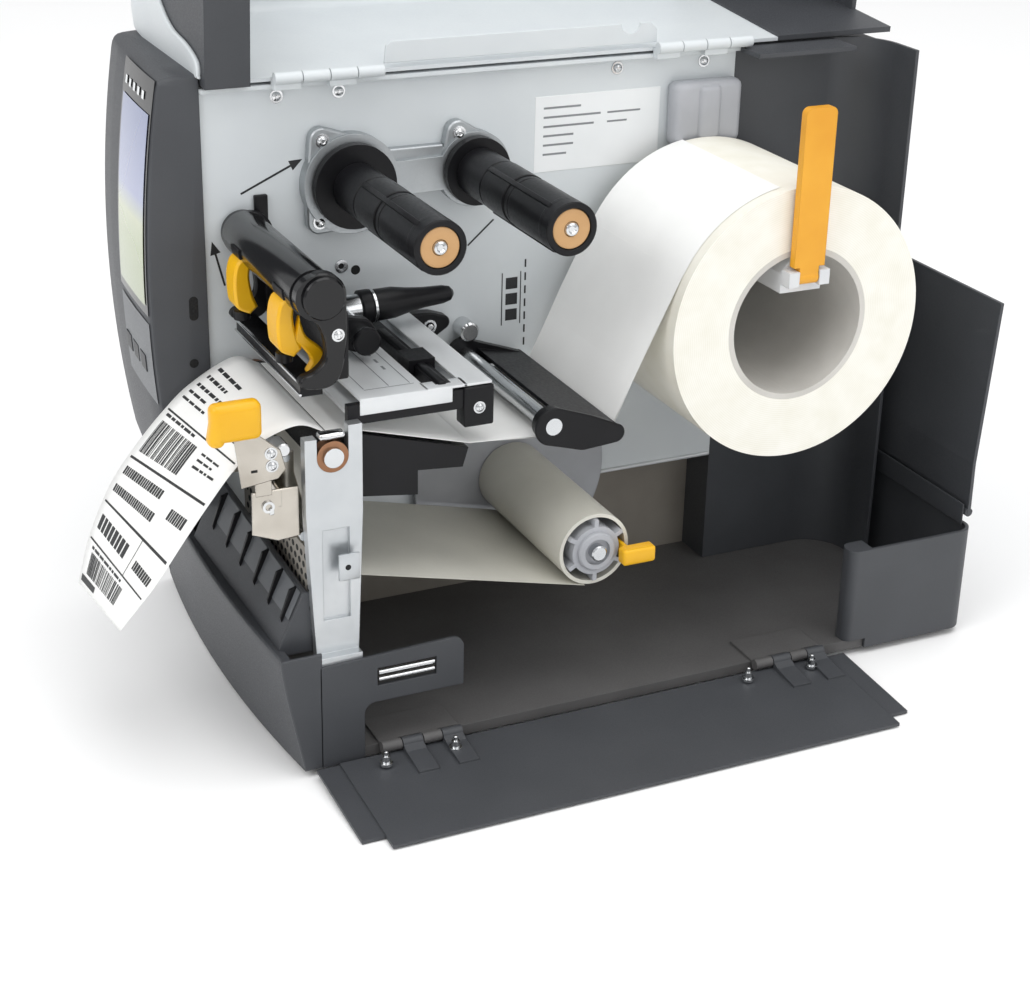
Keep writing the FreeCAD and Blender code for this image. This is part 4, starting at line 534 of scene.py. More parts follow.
make(
    "control_shell", [lofted([housing_section(x, shrink) for x, shrink in HOUSING_STEPS])],
    CHARCOAL, replaces=("control_housing",),
)
make(
    "display_lens", [on_front(-63, -9, SCREEN_FOOT, SCREEN_HEAD, 0.9)],
    DISPLAY, replaces=("touch_screen",), closed=False,
)
make("display_border", [on_front(-67, -5.5, 208, 327, 0.5)], BLACK_GLOSS, closed=False)
make(
    "status_marks", [on_front(x, x + 4, 315, 319, 0.95, 1, 1) for x in (-60, -51, -42, -33, -24)],
    STICKER, closed=False,
)
make("key_panel", [on_front(-66, -5.5, 160, 204, 0.4, 6, 10)], KEY_PANEL, closed=False)


# Front bezel: a lip that bows forward and a face that curves in to the toe

LIP_MIDDLE, LIP_HALF = -1, 120
LIP_FRONT, LIP_BOW = -203, 10
LIP_HEIGHT, LIP_FALL = 83.5, 14.7
BEZEL_WALL = 3.0
BEZEL_END = np.array([
    (-172, 69), (-193, 68.8), (-192.6, 62), (-190.5, 48), (-187, 30), (-183, 10), (-182, 4), (-172, 4)])
FAR_END_RISE = 28


def lip(x):
    """Lip of the bezel: bowed forward by a square of the width, and falling towards the media side."""
    across = x - LIP_MIDDLE
    return LIP_FRONT + LIP_BOW * (across / LIP_HALF) ** 2, LIP_HEIGHT - LIP_FALL * across / LIP_HALF


def bezel_section(x):
    """Section of the bezel at one width: round rim, face curving from lip to toe, and the inside behind."""
    y_lip, z_lip = lip(x)
    v = np.linspace(0, 1, 16)
    toe = y_lip + 13 - 2 * ((x - LIP_MIDDLE) / LIP_HALF) ** 2
    bend = 1 - (1 - v) ** 1.5
    face = np.stack([y_lip + (toe - y_lip) * bend, z_lip - 1.5 - (z_lip - 5.5) * v], 1)
    rim = np.array([[y_lip + 2.4, z_lip - 0.2], [y_lip + 1.2, z_lip], [y_lip + 0.3, z_lip - 0.5]])
    return at_width(x, np.vstack([rim, face, face[::-1] + (BEZEL_WALL, 0.0)]))


def bezel_end(rise):
    """Outline of an end of the bezel: top edge lifted by a rise, curved front and flat back."""
    return np.vstack([BEZEL_END[:2] + (0, rise), smooth(BEZEL_END[1:7], 15)[1:], BEZEL_END[7:]])


make(
    "bezel_shell",
    [lofted([bezel_section(x) for x in np.linspace(-120.5, 118.4, 21)]),
     extruded("x", 118.3, 120.5, bezel_end(0), 0.5),
     extruded("x", -121, -119, bezel_end(FAR_END_RISE), 0.5)],
    CHARCOAL, replaces=("front_bezel",),
)


# Printed label: ruled between a left and a right edge that hang from the platen

LABEL_ROWS = 60
LABEL_START, LABEL_WIDE = 6.3, 100
LABEL_THICK = 0.15
INK_LIFT = 0.14
BARCODE_MODULE = 0.0058
LABEL_LEFT = smooth([
    (-163, 180.4), (-177, 185.5), (-200, 174), (-214, 162), (-228, 147), (-242, 129), (-251, 112), (-258, 95),
    (-264, 73)], LABEL_ROWS)
LABEL_RIGHT = smooth([
    (-163, 180.4), (-177, 186), (-196, 180), (-208, 169), (-217, 158.5), (-232, 139), (-248, 117),
    (-257.5, 106), (-267.5, 95)], LABEL_ROWS)
# Printed areas as shares of the label: from and to across it, from and to down it
LONG_RULES = [(0.03, 0.97, v, v + 0.007) for v in (0.36, 0.545, 0.70, 0.845)]
SHORT_RULES = [(0.04, 0.34, 0.965, 0.985), (0.6, 0.606, 0.24, 0.36), (0.63, 0.636, 0.70, 0.845)]
SMALL_ROWS = (
    (0.06, 0.42, 0.17, 0.18), (0.06, 0.36, 0.20, 0.21), (0.06, 0.46, 0.23, 0.24), (0.06, 0.34, 0.26, 0.27),
    (0.06, 0.40, 0.29, 0.30), (0.66, 0.92, 0.27, 0.28), (0.66, 0.88, 0.30, 0.31), (0.64, 0.9, 0.41, 0.42),
    (0.64, 0.86, 0.44, 0.45), (0.64, 0.92, 0.47, 0.48), (0.06, 0.5, 0.375, 0.386), (0.10, 0.7, 0.865, 0.875))
DENSE_ROWS = ((0.06, 0.58, 0.575, 0.60), (0.06, 0.62, 0.635, 0.66), (0.72, 0.94, 0.60, 0.63))


def label_face(u, v, lift=0.0):
    """Label: v runs down both edges, u blends the left one into the right, lift stands off square to it."""
    t = np.asarray(v, float) * (LABEL_ROWS - 1)
    k = np.minimum(t.astype(int), LABEL_ROWS - 2)
    f = (t - k)[..., None]
    left = LABEL_LEFT[k] * (1 - f) + LABEL_LEFT[k + 1] * f
    right = LABEL_RIGHT[k] * (1 - f) + LABEL_RIGHT[k + 1] * f
    u = np.asarray(u, float)[..., None]
    yz = left * (1 - u) + right * u
    along = (LABEL_LEFT[k + 1] - LABEL_LEFT[k]) * (1 - u) + (LABEL_RIGHT[k + 1] - LABEL_RIGHT[k]) * u
    normal = np.stack([along[..., 1], -along[..., 0]], -1) / np.linalg.norm(along, axis=-1)[..., None]
    return np.concatenate([LABEL_START + LABEL_WIDE * u, yz + normal * lift], -1)


label = make(
    "hanging_label", [patch(label_face, 1, 0, 0, 1, 10, LABEL_ROWS - 2)],
    LABEL_PAPER, replaces=("printed_label",), closed=False,
)
wall = label.modifiers.new("paper", "SOLIDIFY")
wall.thickness = LABEL_THICK * MM
wall.offset = -1


def ink(u0, u1, v0, v1):
    """Printed bar: a strip of the label's surface a little above the paper."""
    rows = max(2, int((v1 - v0) * 2 * (LABEL_ROWS - 2)))
    return patch(lambda u, v: label_face(u, v, INK_LIFT), u1, u0, v0, v1, 1, rows)


def short_bars(u0, u1, v0, v1, seed, gap=0.014, short=0.035, long=0.1):
    """Row of bars of random width, one after another with an even gap."""
    chance = np.random.RandomState(seed)
    cut = np.cumsum(chance.uniform(short, long, 40))
    cut = cut[cut < u1 - u0]
    starts = np.concatenate([[0], cut[:-1]]) + u0
    return [ink(a, b - gap, v0, v1) for a, b in zip(starts, cut + u0) if b - gap > a]


def barcode(u0, u1, v0, v1, seed):
    """Row of bars of one to three modules with spaces of one to three modules."""
    chance = np.random.RandomState(seed)
    edges = u0 + np.cumsum(chance.choice([1, 1, 2, 3], 120)) * BARCODE_MODULE
    edges = edges[edges < u1]
    return [ink(a, b, v0, v1) for a, b in zip(edges[:-1:2], edges[1::2])]


marks = [ink(*area) for area in LONG_RULES + SHORT_RULES]
marks += barcode(0.06, 0.56, 0.405, 0.525, 3) + barcode(0.10, 0.72, 0.885, 0.955, 8)
for row, area in enumerate(SMALL_ROWS):
    marks += short_bars(*area, row + 20)
for row, area in enumerate(DENSE_ROWS):
    marks += short_bars(*area, row + 50, 0.007, 0.02, 0.032)
marks += short_bars(0.07, 0.56, 0.745, 0.80, 61, 0.016, 0.05, 0.066)
marks += short_bars(0.68, 0.96, 0.76, 0.795, 62, 0.007, 0.024, 0.036)
make("label_print", marks, INK, closed=False)


# Wall: stiffening box, sticker, printed marks, holes and screws

MARK_LIFT = 0.08
RULE_LIFT = 0.3
GROMMET = (-113, 223)
# Height and length of each rule on the sticker, in its left and its right column
LEFT_RULES = ((296, 22), (291, 34), (286, 30), (281, 18), (276, 18), (271, 14))
RIGHT_RULES = ((291, 20), (286, 12))


def on_wall(y0, y1, z0, z1, lift=MARK_LIFT):
    """Flat mark just proud of the wall."""
    return patch(lambda u, v: np.stack(np.broadcast_arrays(WALL + lift, u, v), -1), y0, y1, z0, z1)


def wall_line(start, end, width):
    """Straight printed line from one point of the wall to another."""
    a, b = np.array(start, float), np.array(end, float)
    side = np.array([b[1] - a[1], a[0] - b[0]]) / np.linalg.norm(b - a) * width / 2
    corners = np.array([a - side, b - side, b + side, a + side])
    return np.insert(corners, 0, WALL + MARK_LIFT, axis=1), [[0, 1, 2, 3]]


def wall_arrow(start, end, width, head):
    """Printed arrow: a line and a solid triangle at its end."""
    a, b = np.array(start, float), np.array(end, float)
    way = (b - a) / np.linalg.norm(b - a)
    side = np.array([way[1], -way[0]]) * head * 0.4
    tip = np.array([b - way * head - side, b, b - way * head + side])
    triangle = np.insert(tip, 0, WALL + MARK_LIFT + 0.01, axis=1), [[0, 1, 2]]
    return [wall_line(a, b - way * head * 0.8, width), triangle]


make(
    "wall_box",
    [rounded((-6, 76, 271), (6, 118, 306), 4), rounded((-6, 90, 274), (8, 104, 304), 3)],
    GREY,
)
make("wall_sticker", [rounded((-5.2, -3, 262), (-4.75, 72, 303), 0.2, 2)], STICKER)
rules = [on_wall(2, 2 + long, z, z + 1.1, RULE_LIFT) for z, long in LEFT_RULES]
rules += [on_wall(40, 40 + long, z, z + 1.0, RULE_LIFT) for z, long in RIGHT_RULES]
make("sticker_rules", rules, GREY_INK, closed=False)
marks = wall_arrow((-166, 267), (-133, 282), 1.1, 7) + wall_arrow((-176, 220), (-182, 244), 1.1, 7)
marks += [wall_line((-41, 226), (-26, 239), 1.0)]
marks += [on_wall(-18, -11, z, z + 6.5) for z in (180.5, 189.5, 198.5)]
marks += [on_wall(-20.5, -19.9, 178, 208), on_wall(-9.4, -8.8, 178, 208)]
marks += [on_wall(-6.9, -5.9, z, z + 4.5) for z in np.arange(165, 216, 7.5)]
make("wall_marks", marks, INK, closed=False)
# The holes are dark discs of painted shade on the wall
make(
    "wall_holes",
    [disc("x", place, WALL, WALL + 0.1, radius) for place, radius in (((-105, 220), 2.6), (GROMMET, 1.6))],
    SHADOW,
)
make(
    "wall_screws",
    [screw(place, WALL, 2.4, 2.0)
     for place in ((-146, 315), (-113, 315), (45, 315), (98, 315), (-150, 236))]
    + [washer(GROMMET, WALL, WALL + 0.8, 3.6, 1.8)],
    CHROME,
)


# Ribbed plate above the lip: its foot and its top as (Y, Z), at the far and at the near end

SLOPE_FAR = np.array([(-199.4, 84.0), (-185.0, 116.0)])
SLOPE_NEAR = np.array([(-190.4, 69.0), (-177.0, 98.0)])
SLOPE_START, SLOPE_WIDE = -2, 109
SLOPE_OUT = (-0.91, 0.41)
FINS = (13, 31, 49, 67, 85, 101)
FIN_ROOT = -0.6
# Place up the plate, height and half width of each section of a rib
FIN_STEPS = ((0.36, 0.1, 0.4), (0.42, 1.6, 0.7), (0.9, 3.0, 0.8), (0.98, 0.4, 0.5))
PAD_WIDTHS = (16.8, 16.8, 16.8, 16.8, 14.8, 5.5)
VENT_FRONT = -173.8


def slope(x, t, lift):
    """Point of the plate: x blends its far and near ends, t runs from the lip up, lift stands off it."""
    share = np.clip((np.asarray(x, float) - SLOPE_START) / SLOPE_WIDE, -0.05, 1.05)
    far = SLOPE_FAR[0] + np.multiply.outer(t, SLOPE_FAR[1] - SLOPE_FAR[0])
    near = SLOPE_NEAR[0] + np.multiply.outer(t, SLOPE_NEAR[1] - SLOPE_NEAR[0])
    y = far[..., 0] + (near[..., 0] - far[..., 0]) * share + SLOPE_OUT[0] * lift
    z = far[..., 1] + (near[..., 1] - far[..., 1]) * share + SLOPE_OUT[1] * lift
    return np.stack(np.broadcast_arrays(x, y, z), -1)


def sill(x, t):
    """Strip that falls from the back of the lip to the foot of the plate as t goes from 0 to 1."""
    foot = slope(x, 0.0, 0.0)
    y_lip, z_lip = lip(x)
    y = y_lip + 2.0 + (foot[..., 1] + 1 - y_lip) * t
    z = z_lip - 0.6 + (foot[..., 2] - 0.4 - z_lip) * t
    return np.stack(np.broadcast_arrays(x, y, z), -1)


def fin(x):
    """Rib of the plate: four-cornered sections of changing height and width, skinned up the slope."""
    sections = [
        slope(x + half * np.array([-1, 1, 1, -1]), np.full(4, t), np.array([FIN_ROOT, FIN_ROOT, lift, lift]))
        for t, lift, half in FIN_STEPS]
    return lattice(np.stack(sections), wrap_v=True)


make("bezel_sill", [patch(sill, -118, 118, 0, 1, 24, 4)], CHARCOAL, closed=False)
make("plate_fins", [fin(x) for x in FINS], BLACK)
make(
    "plate_pads",
    [patch(lambda x, t: slope(x, t, 0.5), x + 1.2, x + wide, 0.98, 0.5, 2, 4)
     for x, wide in zip(FINS, PAD_WIDTHS)],
    KEY_PANEL, closed=False,
)
make(
    "plate_end",
    [extruded("x", 106.9, 108.4, [(-190.4, 69), (-188, 65), (-172.6, 65), (-172.6, 98), (-177, 98)], 0.3)],
    CHARCOAL,
)

# Perforated screen behind the plate, with its rows of holes staggered: the holes are dark discs of painted
# shade
make(
    "vent_screen", [rounded((8, VENT_FRONT, 80), (106.6, -172.9, 120.4), 0.3, 2)],
    LOWER_STEEL,
)
make(
    "vent_holes",
    [disc("y", (x + 3 * (row % 2), z), VENT_FRONT - 0.15, VENT_FRONT + 0.1, 1.7, 12)
     for row, z in enumerate(np.arange(84, 119, 5.2)) for x in np.arange(14, 105, 6.0)],
    SHADOW,
)

# Peel group on its swinging frame: rounded thumb tab, cover plates, screws and a slot

PEEL_FACE = 109.1
PEEL_SIDE = [(-180, 123), (-170, 123), (-170, 134), (-176, 158), (-176, 169), (-188, 169), (-188, 146)]
UPPER_PLATE = [(-206, 159), (-188, 161.4), (-184, 166), (-186.5, 176), (-196.5, 184.6), (-209, 184)]
LOWER_PLATE = [(-201, 133), (-188.5, 128), (-177.4, 129), (-177.4, 155), (-200.6, 155)]
LINK_PLATE = [(-199, 153), (-191, 153), (-191, 163), (-199, 162)]

make(
    "peel_thumb",
    [rounded((107.6, -221.5, 186), (116.8, -197, 205), 3.4, 5),
     tilted(rounded((107.6, -222, 184), (116.6, -214, 200), 3.2, 5), -10, (112, -218, 192))],
    YELLOW, "peel", ("peel_tab",),
)
make(
    "peel_plates",
    [extruded("x", 107.6, 109.2, UPPER_PLATE, 0.4), extruded("x", 105.8, 107.3, LOWER_PLATE, 0.4),
     extruded("x", 106.8, 107.9, LINK_PLATE, 0.2),
     rounded((9, -188, 146), (97, -186, 164), 0.5, 3), rounded((95, -188, 146), (107.4, -186, 154.6), 0.5, 3)]
    + [extruded("x", x, x + 2, PEEL_SIDE, 0.4) for x in (9, 95)],
    NICKEL, "peel", ("peel_frame",),
)
make(
    "peel_steel",
    [washer((-193, 147), 107.2, 108.6, 3.0, 1.7),
     rounded((107.2, -192.6, 142.6), (108.4, -190.2, 146.2), 0.5, 3),
     screw((-191.4, 175), PEEL_FACE, 2.2, 1.6), screw((-191, 168.6), PEEL_FACE, 2.2, 1.6),
     turned("x", (-184.4, 174.6), [(96.5, 3.4), (107, 3.4), (107.6, 2.8)], 24)],
    CHROME, "peel",
)
# The slot is a dark patch of painted shade
make(
    "peel_slots", [rounded((PEEL_FACE, -201.4, 166.4), (PEEL_FACE + 0.2, -198.2, 167.8), 0.08, 2)],
    SHADOW, "peel",
)

# Print head: toggles, frame, end plate, lever and their small steel

TOGGLE_BACK = smooth([(-176, 245.5), (-180, 243), (-182, 236), (-182, 226), (-180.5, 219.5), (-174, 216)], 18)
TOGGLE_FRONT = smooth([(-170, 219.5), (-172.5, 226), (-174, 236), (-172.5, 243)], 10)
TOGGLE_HOOK = smooth([
    (-171, 236), (-168, 226), (-160.5, 219), (-159, 213), (-162.5, 204.8), (-168, 207.5), (-165.5, 213),
    (-169, 219), (-174, 224)], 32)
SADDLE = np.vstack([arc(HEAD_BAR, 12.3, 178, 268, 14), arc(HEAD_BAR, 11.2, 268, 178, 14)])
CHEEK = np.vstack([arc(HEAD_END, 11.6, -10, 235, 26), smooth([
    (-166.5, 235.5), (-163.6, 228), (-163.4, 219), (-168.5, 213), (-175, 210.5), (-176.5, 207), (-172, 204.6),
    (-163, 204.4), (-157.4, 208), (-154.6, 216), (-153.2, 228), (-153, 240)], 44)])
HEAD_ARM = hull(((-149.5, 214), 6), (LEVER_PIVOT, 8.8))
# The lever's axle as (X, Z) and its tip from level, in degrees
LEVER_AXLE = (19.5, 207.6)
LEVER_TIP = 2


def lever_part(profile):
    """Profile turned round the lever's axle and tipped about its pivot."""
    return tilted(turned("y", LEVER_AXLE, profile, 36), LEVER_TIP, (LEVER_AXLE[0], *LEVER_PIVOT))


for name, x0, x1 in (("near", 80, 96), ("far", 17, 31)):
    toggle = [extruded("x", x0, x1, np.vstack([TOGGLE_BACK, TOGGLE_FRONT]), 1.2)]
    if name == "near":
        toggle += [extruded("x", x1 - 4.5, x1, TOGGLE_HOOK, 0.9)]
    make(
        name + "_toggle_body", toggle,
        YELLOW, name + "_toggle", (name + "_toggle",), angle=40,
    )
    make(
        name + "_toggle_saddle",
        [extruded("x", x0 + 1, x1 - 1, SADDLE, 0.2), disc("z", (0.5 * (x0 + x1), -176.5), 212, 216.5, 4.2)],
        BLACK, name + "_toggle",
    )
make(
    "head_frame",
    [extruded("x", a, b, CHEEK, 0.8) for a, b in ((1, 6), (104, 109))]
    + [extruded("x", a, b, HEAD_ARM, 0.8) for a, b in ((1, 7), (48, 54))]
    + [rounded((2, -157.6, 206.2), (108, -151, 240), 1.5, 3)],
    BLACK, "print_head", ("head_carrier",), angle=40,
)
make(
    "head_end_plate",
    [extruded("x", 109, 110.8, CHEEK, 0.7),
     turned("x", HEAD_END, [(110.4, 10.4), (112.6, 10.4), (113.4, 9.6), (113.4, 0.2)], 48),
     turned("x", HEAD_BAR, [(0.6, 6), (0.2, 9.6), (1.2, 11.2), (3, 11.7), (104, 11.7)], 48)],
    BLACK_GLOSS, "print_head", angle=40,
)
make(
    "strip_edge",
    [straight((5, -174.2, z), (103.5, -174.2, z), radius) for z, radius in ((205.6, 0.9), (199.6, 0.7))],
    CHROME, "print_head",
)
make("head_end_screw", [screw((-157.6, 230), 110.7, 2.2, 1.6)], CHROME, "print_head")
make(
    "lever_handle",
    [lever_part([(-113, 8.0), (-112.4, 9.0), (-107, 9.0), (-106.4, 8.0)]),
     lever_part([(-104.6, 8.0), (-104, 8.4), (-94, 8.2), (-86, 6.6), (-77, 5.4), (-66, 4.8), (-62, 3.8),
                 (-60.2, 1.8), (-59.8, 0.2)]),
     turned("x", LEVER_PIVOT, [(62, 7.2), (63.6, 7.2), (64.4, 6.2)], 32)],
    BLACK, "head_lever", ("head_lever",),
)
make(
    "lever_shank",
    [lever_part([(-133, 6.6), (-132.4, 7.4), (-113, 7.4)]),
     lever_part([(-106.4, 7.8), (-106.2, 8.8), (-104.8, 8.8), (-104.6, 7.8)])],
    STEEL, "head_lever",
)

# Tray: pale plates level with the rail, printed lines, black blocks and small steel

TRAY_LOW, TRAY_TOP = 193.4, 194.9
TRAY_NEAR = 107.6
TRAY_STUD = (-66, 186)


def tray_mark(x0, x1, y0, y1):
    """Flat printed line just above the tray plates."""
    return patch(lambda x, y: np.stack(np.broadcast_arrays(x, y, TRAY_TOP + 0.07), -1), x0, x1, y0, y1)


# The pale plates carry the zinc made bright as a painted reflection
make(
    "tray_plates",
    [rounded((x, y0, TRAY_LOW), (TRAY_NEAR, y1, TRAY_TOP), 0.4, 3)
     for x, y0, y1 in ((-4, -146, -110.5), (-4, -92, -77), (98, -112, -90))]
    + [rounded((107.1, -146, 186.5), (107.8, -98, 194.6), 0.3, 3)],
    TRAY,
)
lines = [tray_mark(20, 96, y, y + 0.5) for y in (-140, -127, -116)] + [tray_mark(97, 97.6, -140, -114)]
lines += [tray_mark(x, x + 5, -121, -119.6) for x in (50, 60, 70)] + [tray_mark(40, 52, -134, -131)]
make("tray_marks", lines, GREY_INK, closed=False)
make(
    "tray_blocks",
    [rounded((98, -92, 172), (108.5, -76, 193), 1.2), rounded((22, -104, 190), (104, -99.5, 196.4), 1.0),
     extruded("x", WALL, 2.4, hull((TRAY_STUD, 7.5), ((-74, 189), 5), ((-58, 187), 4)), 0.8)],
    BLACK,
)
make(
    "tray_steel",
    [screw((-84, 182), 108.4, 2.2, 1.6), washer(TRAY_STUD, 2.4, 3.2, 3.8, 2.6),
     turned("x", TRAY_STUD, [(2.4, 1.8), (4.2, 1.8), (4.6, 1.2)], 16),
     turned("x", (-44, 181), [(WALL, 5.4), (6, 5.4), (7, 4.4), (7, 2)], 28)],
    CHROME,
)

# Ribbon spindles: grooved sleeves, a rim round a tan disc, and a screw; and the cast plate's ears

BORE = 12.4
SLEEVES = ((9.5, 38, 13.0), (39.5, 66, 13.3), (67.2, 71, 12.9), (72.2, 111, 13.3))
RIM = [(108, BORE), (108, 13.4), (117, 13.4), (117.6, 12.8), (117.6, 10.6), (117.2, 10.2), (112, 10.2)]
TAN_DISC = [(116, 9.9), (116.5, 9.9), (116.7, 9.6), (116.7, 3.9), (116, 3.9)]
CAP_SCREW = [(116, 3.8), (116.6, 3.8), (117.6, 3.2), (118, 2.2), (117.2, 1.5), (117.2, 0.2)]
EAR_FACE = 1.4
# Spindle, reach round it and screw of each ear
EARS = (
    (TAKE_UP_AXIS, 24, (-124.5, 292)), (TAKE_UP_AXIS, 24, (-126.5, 250)), (SUPPLY_AXIS, 19, (-49.5, 289.5)))


def sleeve(low, high, radius):
    """Section of a sleeve between two widths, with its outer corners taken off."""
    return [(low, BORE), (low, radius - 0.5), (low + 0.5, radius), (high - 0.5, radius), (high, radius - 0.5),
            (high, BORE)]


def sleeve_rib(axis, degrees):
    """Low rib along the top of a sleeve, turned round its axis by an angle."""
    y, z = axis
    return tilted(rounded((40, y - 1.4, z + 12.6), (110, y + 1.4, z + 14.2), 0.6, 3), degrees, (0, y, z))


for name, axis in (("take_up", TAKE_UP_AXIS), ("supply", SUPPLY_AXIS)):
    profiles = [sleeve(*ends) for ends in SLEEVES] + [RIM]
    rings = [turned("x", axis, profile, ring=True) for profile in profiles]
    make(
        name + "_sleeve", rings + [sleeve_rib(axis, degrees) for degrees in (38, 158, 278)],
        BLACK, name + "_spindle",
    )
    make(
        name + "_disc", [turned("x", axis, TAN_DISC, ring=True)],
        TAN, name + "_spindle",
    )
    make(
        name + "_cap_screw", [turned("x", axis, CAP_SCREW, 20)],
        CHROME, name + "_spindle",
    )
make(
    "casting_ears",
    [extruded("x", WALL, EAR_FACE, hull((axis, reach), (place, 6.5)), 0.8) for axis, reach, place in EARS]
    + [extruded("x", WALL, 0.4, [(-92, 284), (-58, 284), (-56, 277), (-90, 277)], 0.6)],
    CAST,
)
make(
    "casting_screws", [screw(place, EAR_FACE, 2.6, 2.2) for _, _, place in EARS],
    CHROME,
)

# Side bracket: clip over the bearing, square pad and hole; bars in the side plate's slot; studs of the flap

STUD = [(7, 3.4), (8.6, 3.4), (8.6, 2.2), (12.2, 2.1), (12.2, 1.2), (14.4, 1.1), (14.8, 0.6)]

make("bearing_clip", [rounded((107.5, -169, 179), (114, -155.5, 182.4), 1.6, 4)], CHROME)
make("bracket_pad", [rounded((116.8, -161.6, 106), (118.45, -151, 120), 0.3, 3)], ZINC)
# The hole is a dark disc of painted shade
make("bracket_hole", [disc("x", (-157, 113), 118.4, 118.52, 1.5, 16)], SHADOW)
make(
    "catch_bars", [straight((119.4, -142, z), (119.4, -112, z), 1.2) for z in (48.2, 52.2)],
    CHROME,
)
make(
    "flap_studs",
    [turned("z", place, STUD, 18) for place in ((134, -144), (134, -106), (131, 69), (132, 109))],
    CHROME, "lower_flap",
)

# Door: stiffening flange with a notch, and the pale band that wraps its front

NOTCH = arc((50, 339), 5.5, 180, 360, 12)
FLANGE = np.vstack([[(-90, 328), (-89, 337), (-86, 339)], NOTCH, [(62, 339), (66, 335), (66, 328)]])
BAND = smooth([
    (-97, 575), (-112.5, 400), (-117.5, 352), (-116, 336), (-107, 329), (-60, 326.8), (-6.5, 327), (-1, 329),
    (-3, 336), (-20, 341), (-44, 344), (-62, 352), (-82, 368), (-96, 390), (-99.8, 412), (-98.6, 432),
    (-84.7, 575)], 84)

make("door_flange", [extruded("x", -2.2, -0.9, FLANGE, 0.3)], PALE_COAT, "media_door")
make("door_band", [extruded("y", -187.4, -184.8, BAND, 0.8)], PALE_COAT, "media_door")

# Paper off the roll: one smooth strip from the top of the roll round the dancer to the tray

WEB_RADIUS = 73.6
OFF_ROLL = smooth([
    (26, 232), (8, 196), (-6.5, 163.6), (-11, 158.6), (-18, 158.2), (-50, 159.8), (-88, 163.2)], 30)
WEB_LINE = smooth(np.vstack([arc(ROLL_AXIS, WEB_RADIUS, 100, 152, 14), OFF_ROLL[1:]]), 110)

make(
    "web_strip", [lattice(np.stack([at_width(x, WEB_LINE) for x in (106.5, 80, 40, 6)]))],
    LABEL_PAPER, closed=False,
)

# Rear of the machine: sockets on the port panel, filler strips round it, and louvres on the cover

PANEL_BACK = 212.4
PORT_FEET = (120, 146, 172)
CROWN = np.vstack([[(-119.3, 302)], arc((-107, 304), 12.3, 180, 90, 10), [(-7.2, 316.3), (-7.2, 302)]])[::-1]

make(
    "port_shells",
    [rounded((-98.5, PANEL_BACK, z - 0.5), (-81.5, 214.6, z + 13.5), 0.8, 3) for z in PORT_FEET],
    ZINC,
)
# Mouths of the sockets and of the inlet: dark patches of painted shade
make(
    "port_mouths",
    [rounded((-96, 214.4, z + 2), (-84, 214.75, z + 11), 0.15, 2) for z in PORT_FEET]
    + [rounded((-73, 216.9, 37.5), (-51, 217.2, 50.5), 0.15, 2)],
    SHADOW,
)
make("inlet_shell", [rounded((-77, PANEL_BACK, 33), (-47, 217, 55), 2.0, 4)], BLACK)
make(
    "inlet_blades",
    [rounded((x, 216, z), (x + 1.8, 218.4, z + 5), 0.4, 2) for x, z in ((-67.5, 40), (-58.5, 40), (-63, 44))],
    CHROME,
)
make(
    "panel_crown",
    [extruded("y", 211, PANEL_BACK, CROWN, 0.3), rounded((-119.4, -178, 3), (-117.6, -160, 82), 0.4, 2),
     rounded((-7.4, 190, 12), (-5.7, PANEL_BACK, 316), 0.4, 2)],
    CHARCOAL,
)
# The louvre slots are dark strips of painted shade
make(
    "cover_louvres",
    [rounded((-121.4, y, z), (-120.6, y + 34, z + 3), 0.35, 2)
     for z in np.arange(90, 240, 9) for y in (-76, -34, 8, 50)],
    SHADOW,
)

# Rolled lower edge of the wall, in the zinc made bright as a painted reflection
make("wall_lip", [straight((-4.6, -70, 79.8), (-4.6, 117, 79.8), 1.2)], TRAY)

# Liner spindle's end, the hook with its ridged grip, and the dancer's end plate

HUB_RING = [(107.6, 10.8), (109.6, 10.6), (110.4, 9.8), (110.4, 7.2), (107.6, 7.2)]

make("hub_boss", [turned("x", LINER_AXIS, HUB_RING, ring=True)], GREY, "liner_take_up")
make(
    "hub_tip", [turned("x", LINER_AXIS, [(108, 4.4), (112.2, 4.4), (112.8, 3.6), (112.8, 0.2)], 28)],
    STEEL, "liner_take_up",
)
make(
    "hook_grip",
    [rounded((110.6, -4.4, 83.6), (118, 14.6, 92.6), 1.6, 4),
     tilted(rounded((7.6, -19, 105.6), (116, -13, 108), 0.5, 3), -96, (0, *LINER_AXIS))]
    + [rounded((112.2 + 1.5 * i, -3, 92.2), (112.9 + 1.5 * i, 13.2, 93), 0.2, 2) for i in range(3)],
    YELLOW, "liner_hook", ("liner_hook",),
)
make(
    "dancer_plate",
    [extruded("x", 112.8, 114.5, hull(((-46, 167.6), 10), ((-28, 161.8), 9.4), ((-10.5, 158.8), 5)), 0.6)],
    BLACK, "dancer", angle=40,
)

# Small trim: slot and hole in the housing's side, strip over the rear flap's hinge, and a bracket on the wall

# The slot and the hole are dark patches of painted shade
make(
    "housing_marks",
    [extruded("x", -3.2, -2.8, hull(((-193.5, 206.5), 2.4), ((-193.5, 214.5), 2.4)), 0.1),
     disc("x", (-194.6, 181), -3.2, -2.8, 2.4)],
    SHADOW,
)
make("tail_hinge_strip", [rounded((0, 216.1, 66), (113, 216.9, 79), 0.3, 2)], CHARCOAL)
make("wall_bracket", [rounded((-5.2, -159.5, 250), (-2.5, -152.5, 266), 0.6)], BLACK)


# Camera, light and floor, in metres

CAMERA_PLACE = (0.94076, -0.46154, 0.55182)
CAMERA_LENS = 70.385
CAMERA_SENSOR = 36
AZIMUTH, ELEVATION, ROLL = np.radians((64.45, 24.38, 1.37))
FLOOR_HALF = 9

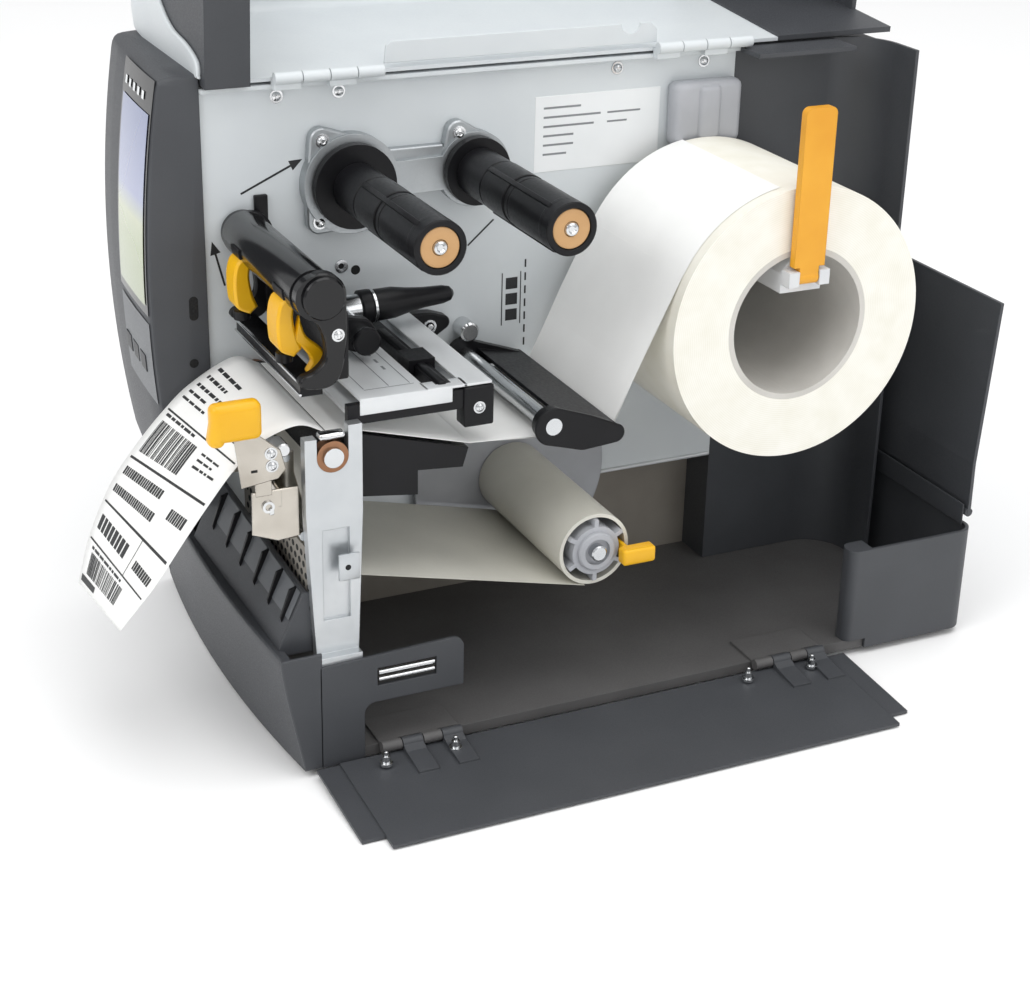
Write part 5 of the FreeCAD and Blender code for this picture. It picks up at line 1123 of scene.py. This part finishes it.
scene = bpy.context.scene
camera = bpy.data.objects.new("camera", bpy.data.cameras.new("camera"))
camera.data.lens = CAMERA_LENS
camera.data.sensor_fit = "HORIZONTAL"
camera.data.sensor_width = CAMERA_SENSOR
level = math.cos(ELEVATION)
back = np.array([math.sin(AZIMUTH) * level, -math.cos(AZIMUTH) * level, math.sin(ELEVATION)])
right = np.cross((0, 0, 1), back)
right /= np.linalg.norm(right)
up = np.cross(back, right)
turn = np.stack([
    math.cos(ROLL) * right + math.sin(ROLL) * up, math.cos(ROLL) * up - math.sin(ROLL) * right, back], 1)
camera.matrix_world = Matrix.Translation(CAMERA_PLACE) @ Matrix(turn.tolist()).to_4x4()
scene.collection.objects.link(camera)
scene.camera = camera

floor_mesh = bpy.data.meshes.new("floor")
corners = [(x * FLOOR_HALF, y * FLOOR_HALF, 0) for x, y in ((-1, -1), (1, -1), (1, 1), (-1, 1))]
floor_mesh.from_pydata(corners, [], [(0, 1, 2, 3)])
floor_mesh.materials.append(floor_paint())
floor = bpy.data.objects.new("floor", floor_mesh)
scene.collection.objects.link(floor)

world = bpy.data.worlds.new("studio")
scene.world = world
world.use_nodes = True
tree = world.node_tree
tree.nodes.clear()
sky = add(tree, "TexCoord").outputs["Generated"]
height = add(tree, "SeparateXYZ", {"Vector": sky})
shade = add(tree, "ValToRGB", {"Fac": height.outputs["Z"]})
shade.color_ramp.elements[0].color = (0.62, 0.63, 0.64, 1)
shade.color_ramp.elements[1].color = (1, 1, 1, 1)
glow = add(tree, "Background", {"Color": shade.outputs[0], "Strength": 0.92})
add(tree, "OutputWorld", {"Surface": glow.outputs[0]})


def square(way):
    """Three unit vectors square to each other, the last along the given way."""
    z = np.asarray(way, float) / np.linalg.norm(way)
    x = np.cross((0.0, 0.01, 1.0), z)
    x /= np.linalg.norm(x)
    return x, np.cross(z, x), z


def softbox(name, place, aim, size, power):
    """Square area light that points from its place at an aim."""
    light = bpy.data.lights.new(name, "AREA")
    light.size = size
    light.energy = power
    lamp = bpy.data.objects.new(name, light)
    turn = np.stack(square(np.array(place, float) - aim), 1)
    lamp.matrix_world = Matrix.Translation(place) @ Matrix(turn.tolist()).to_4x4()
    scene.collection.objects.link(lamp)


softbox("key", (0.6, -2.1, 2.0), (0, -0.05, 0.2), 1.6, 22)
softbox("fill", (2.4, 0.9, 1.5), (0, 0, 0.2), 1.8, 12)
softbox("top", (0.5, 0.2, 2.8), (0, 0, 0.2), 2.2, 26)
scene.view_settings.view_transform = "Standard"
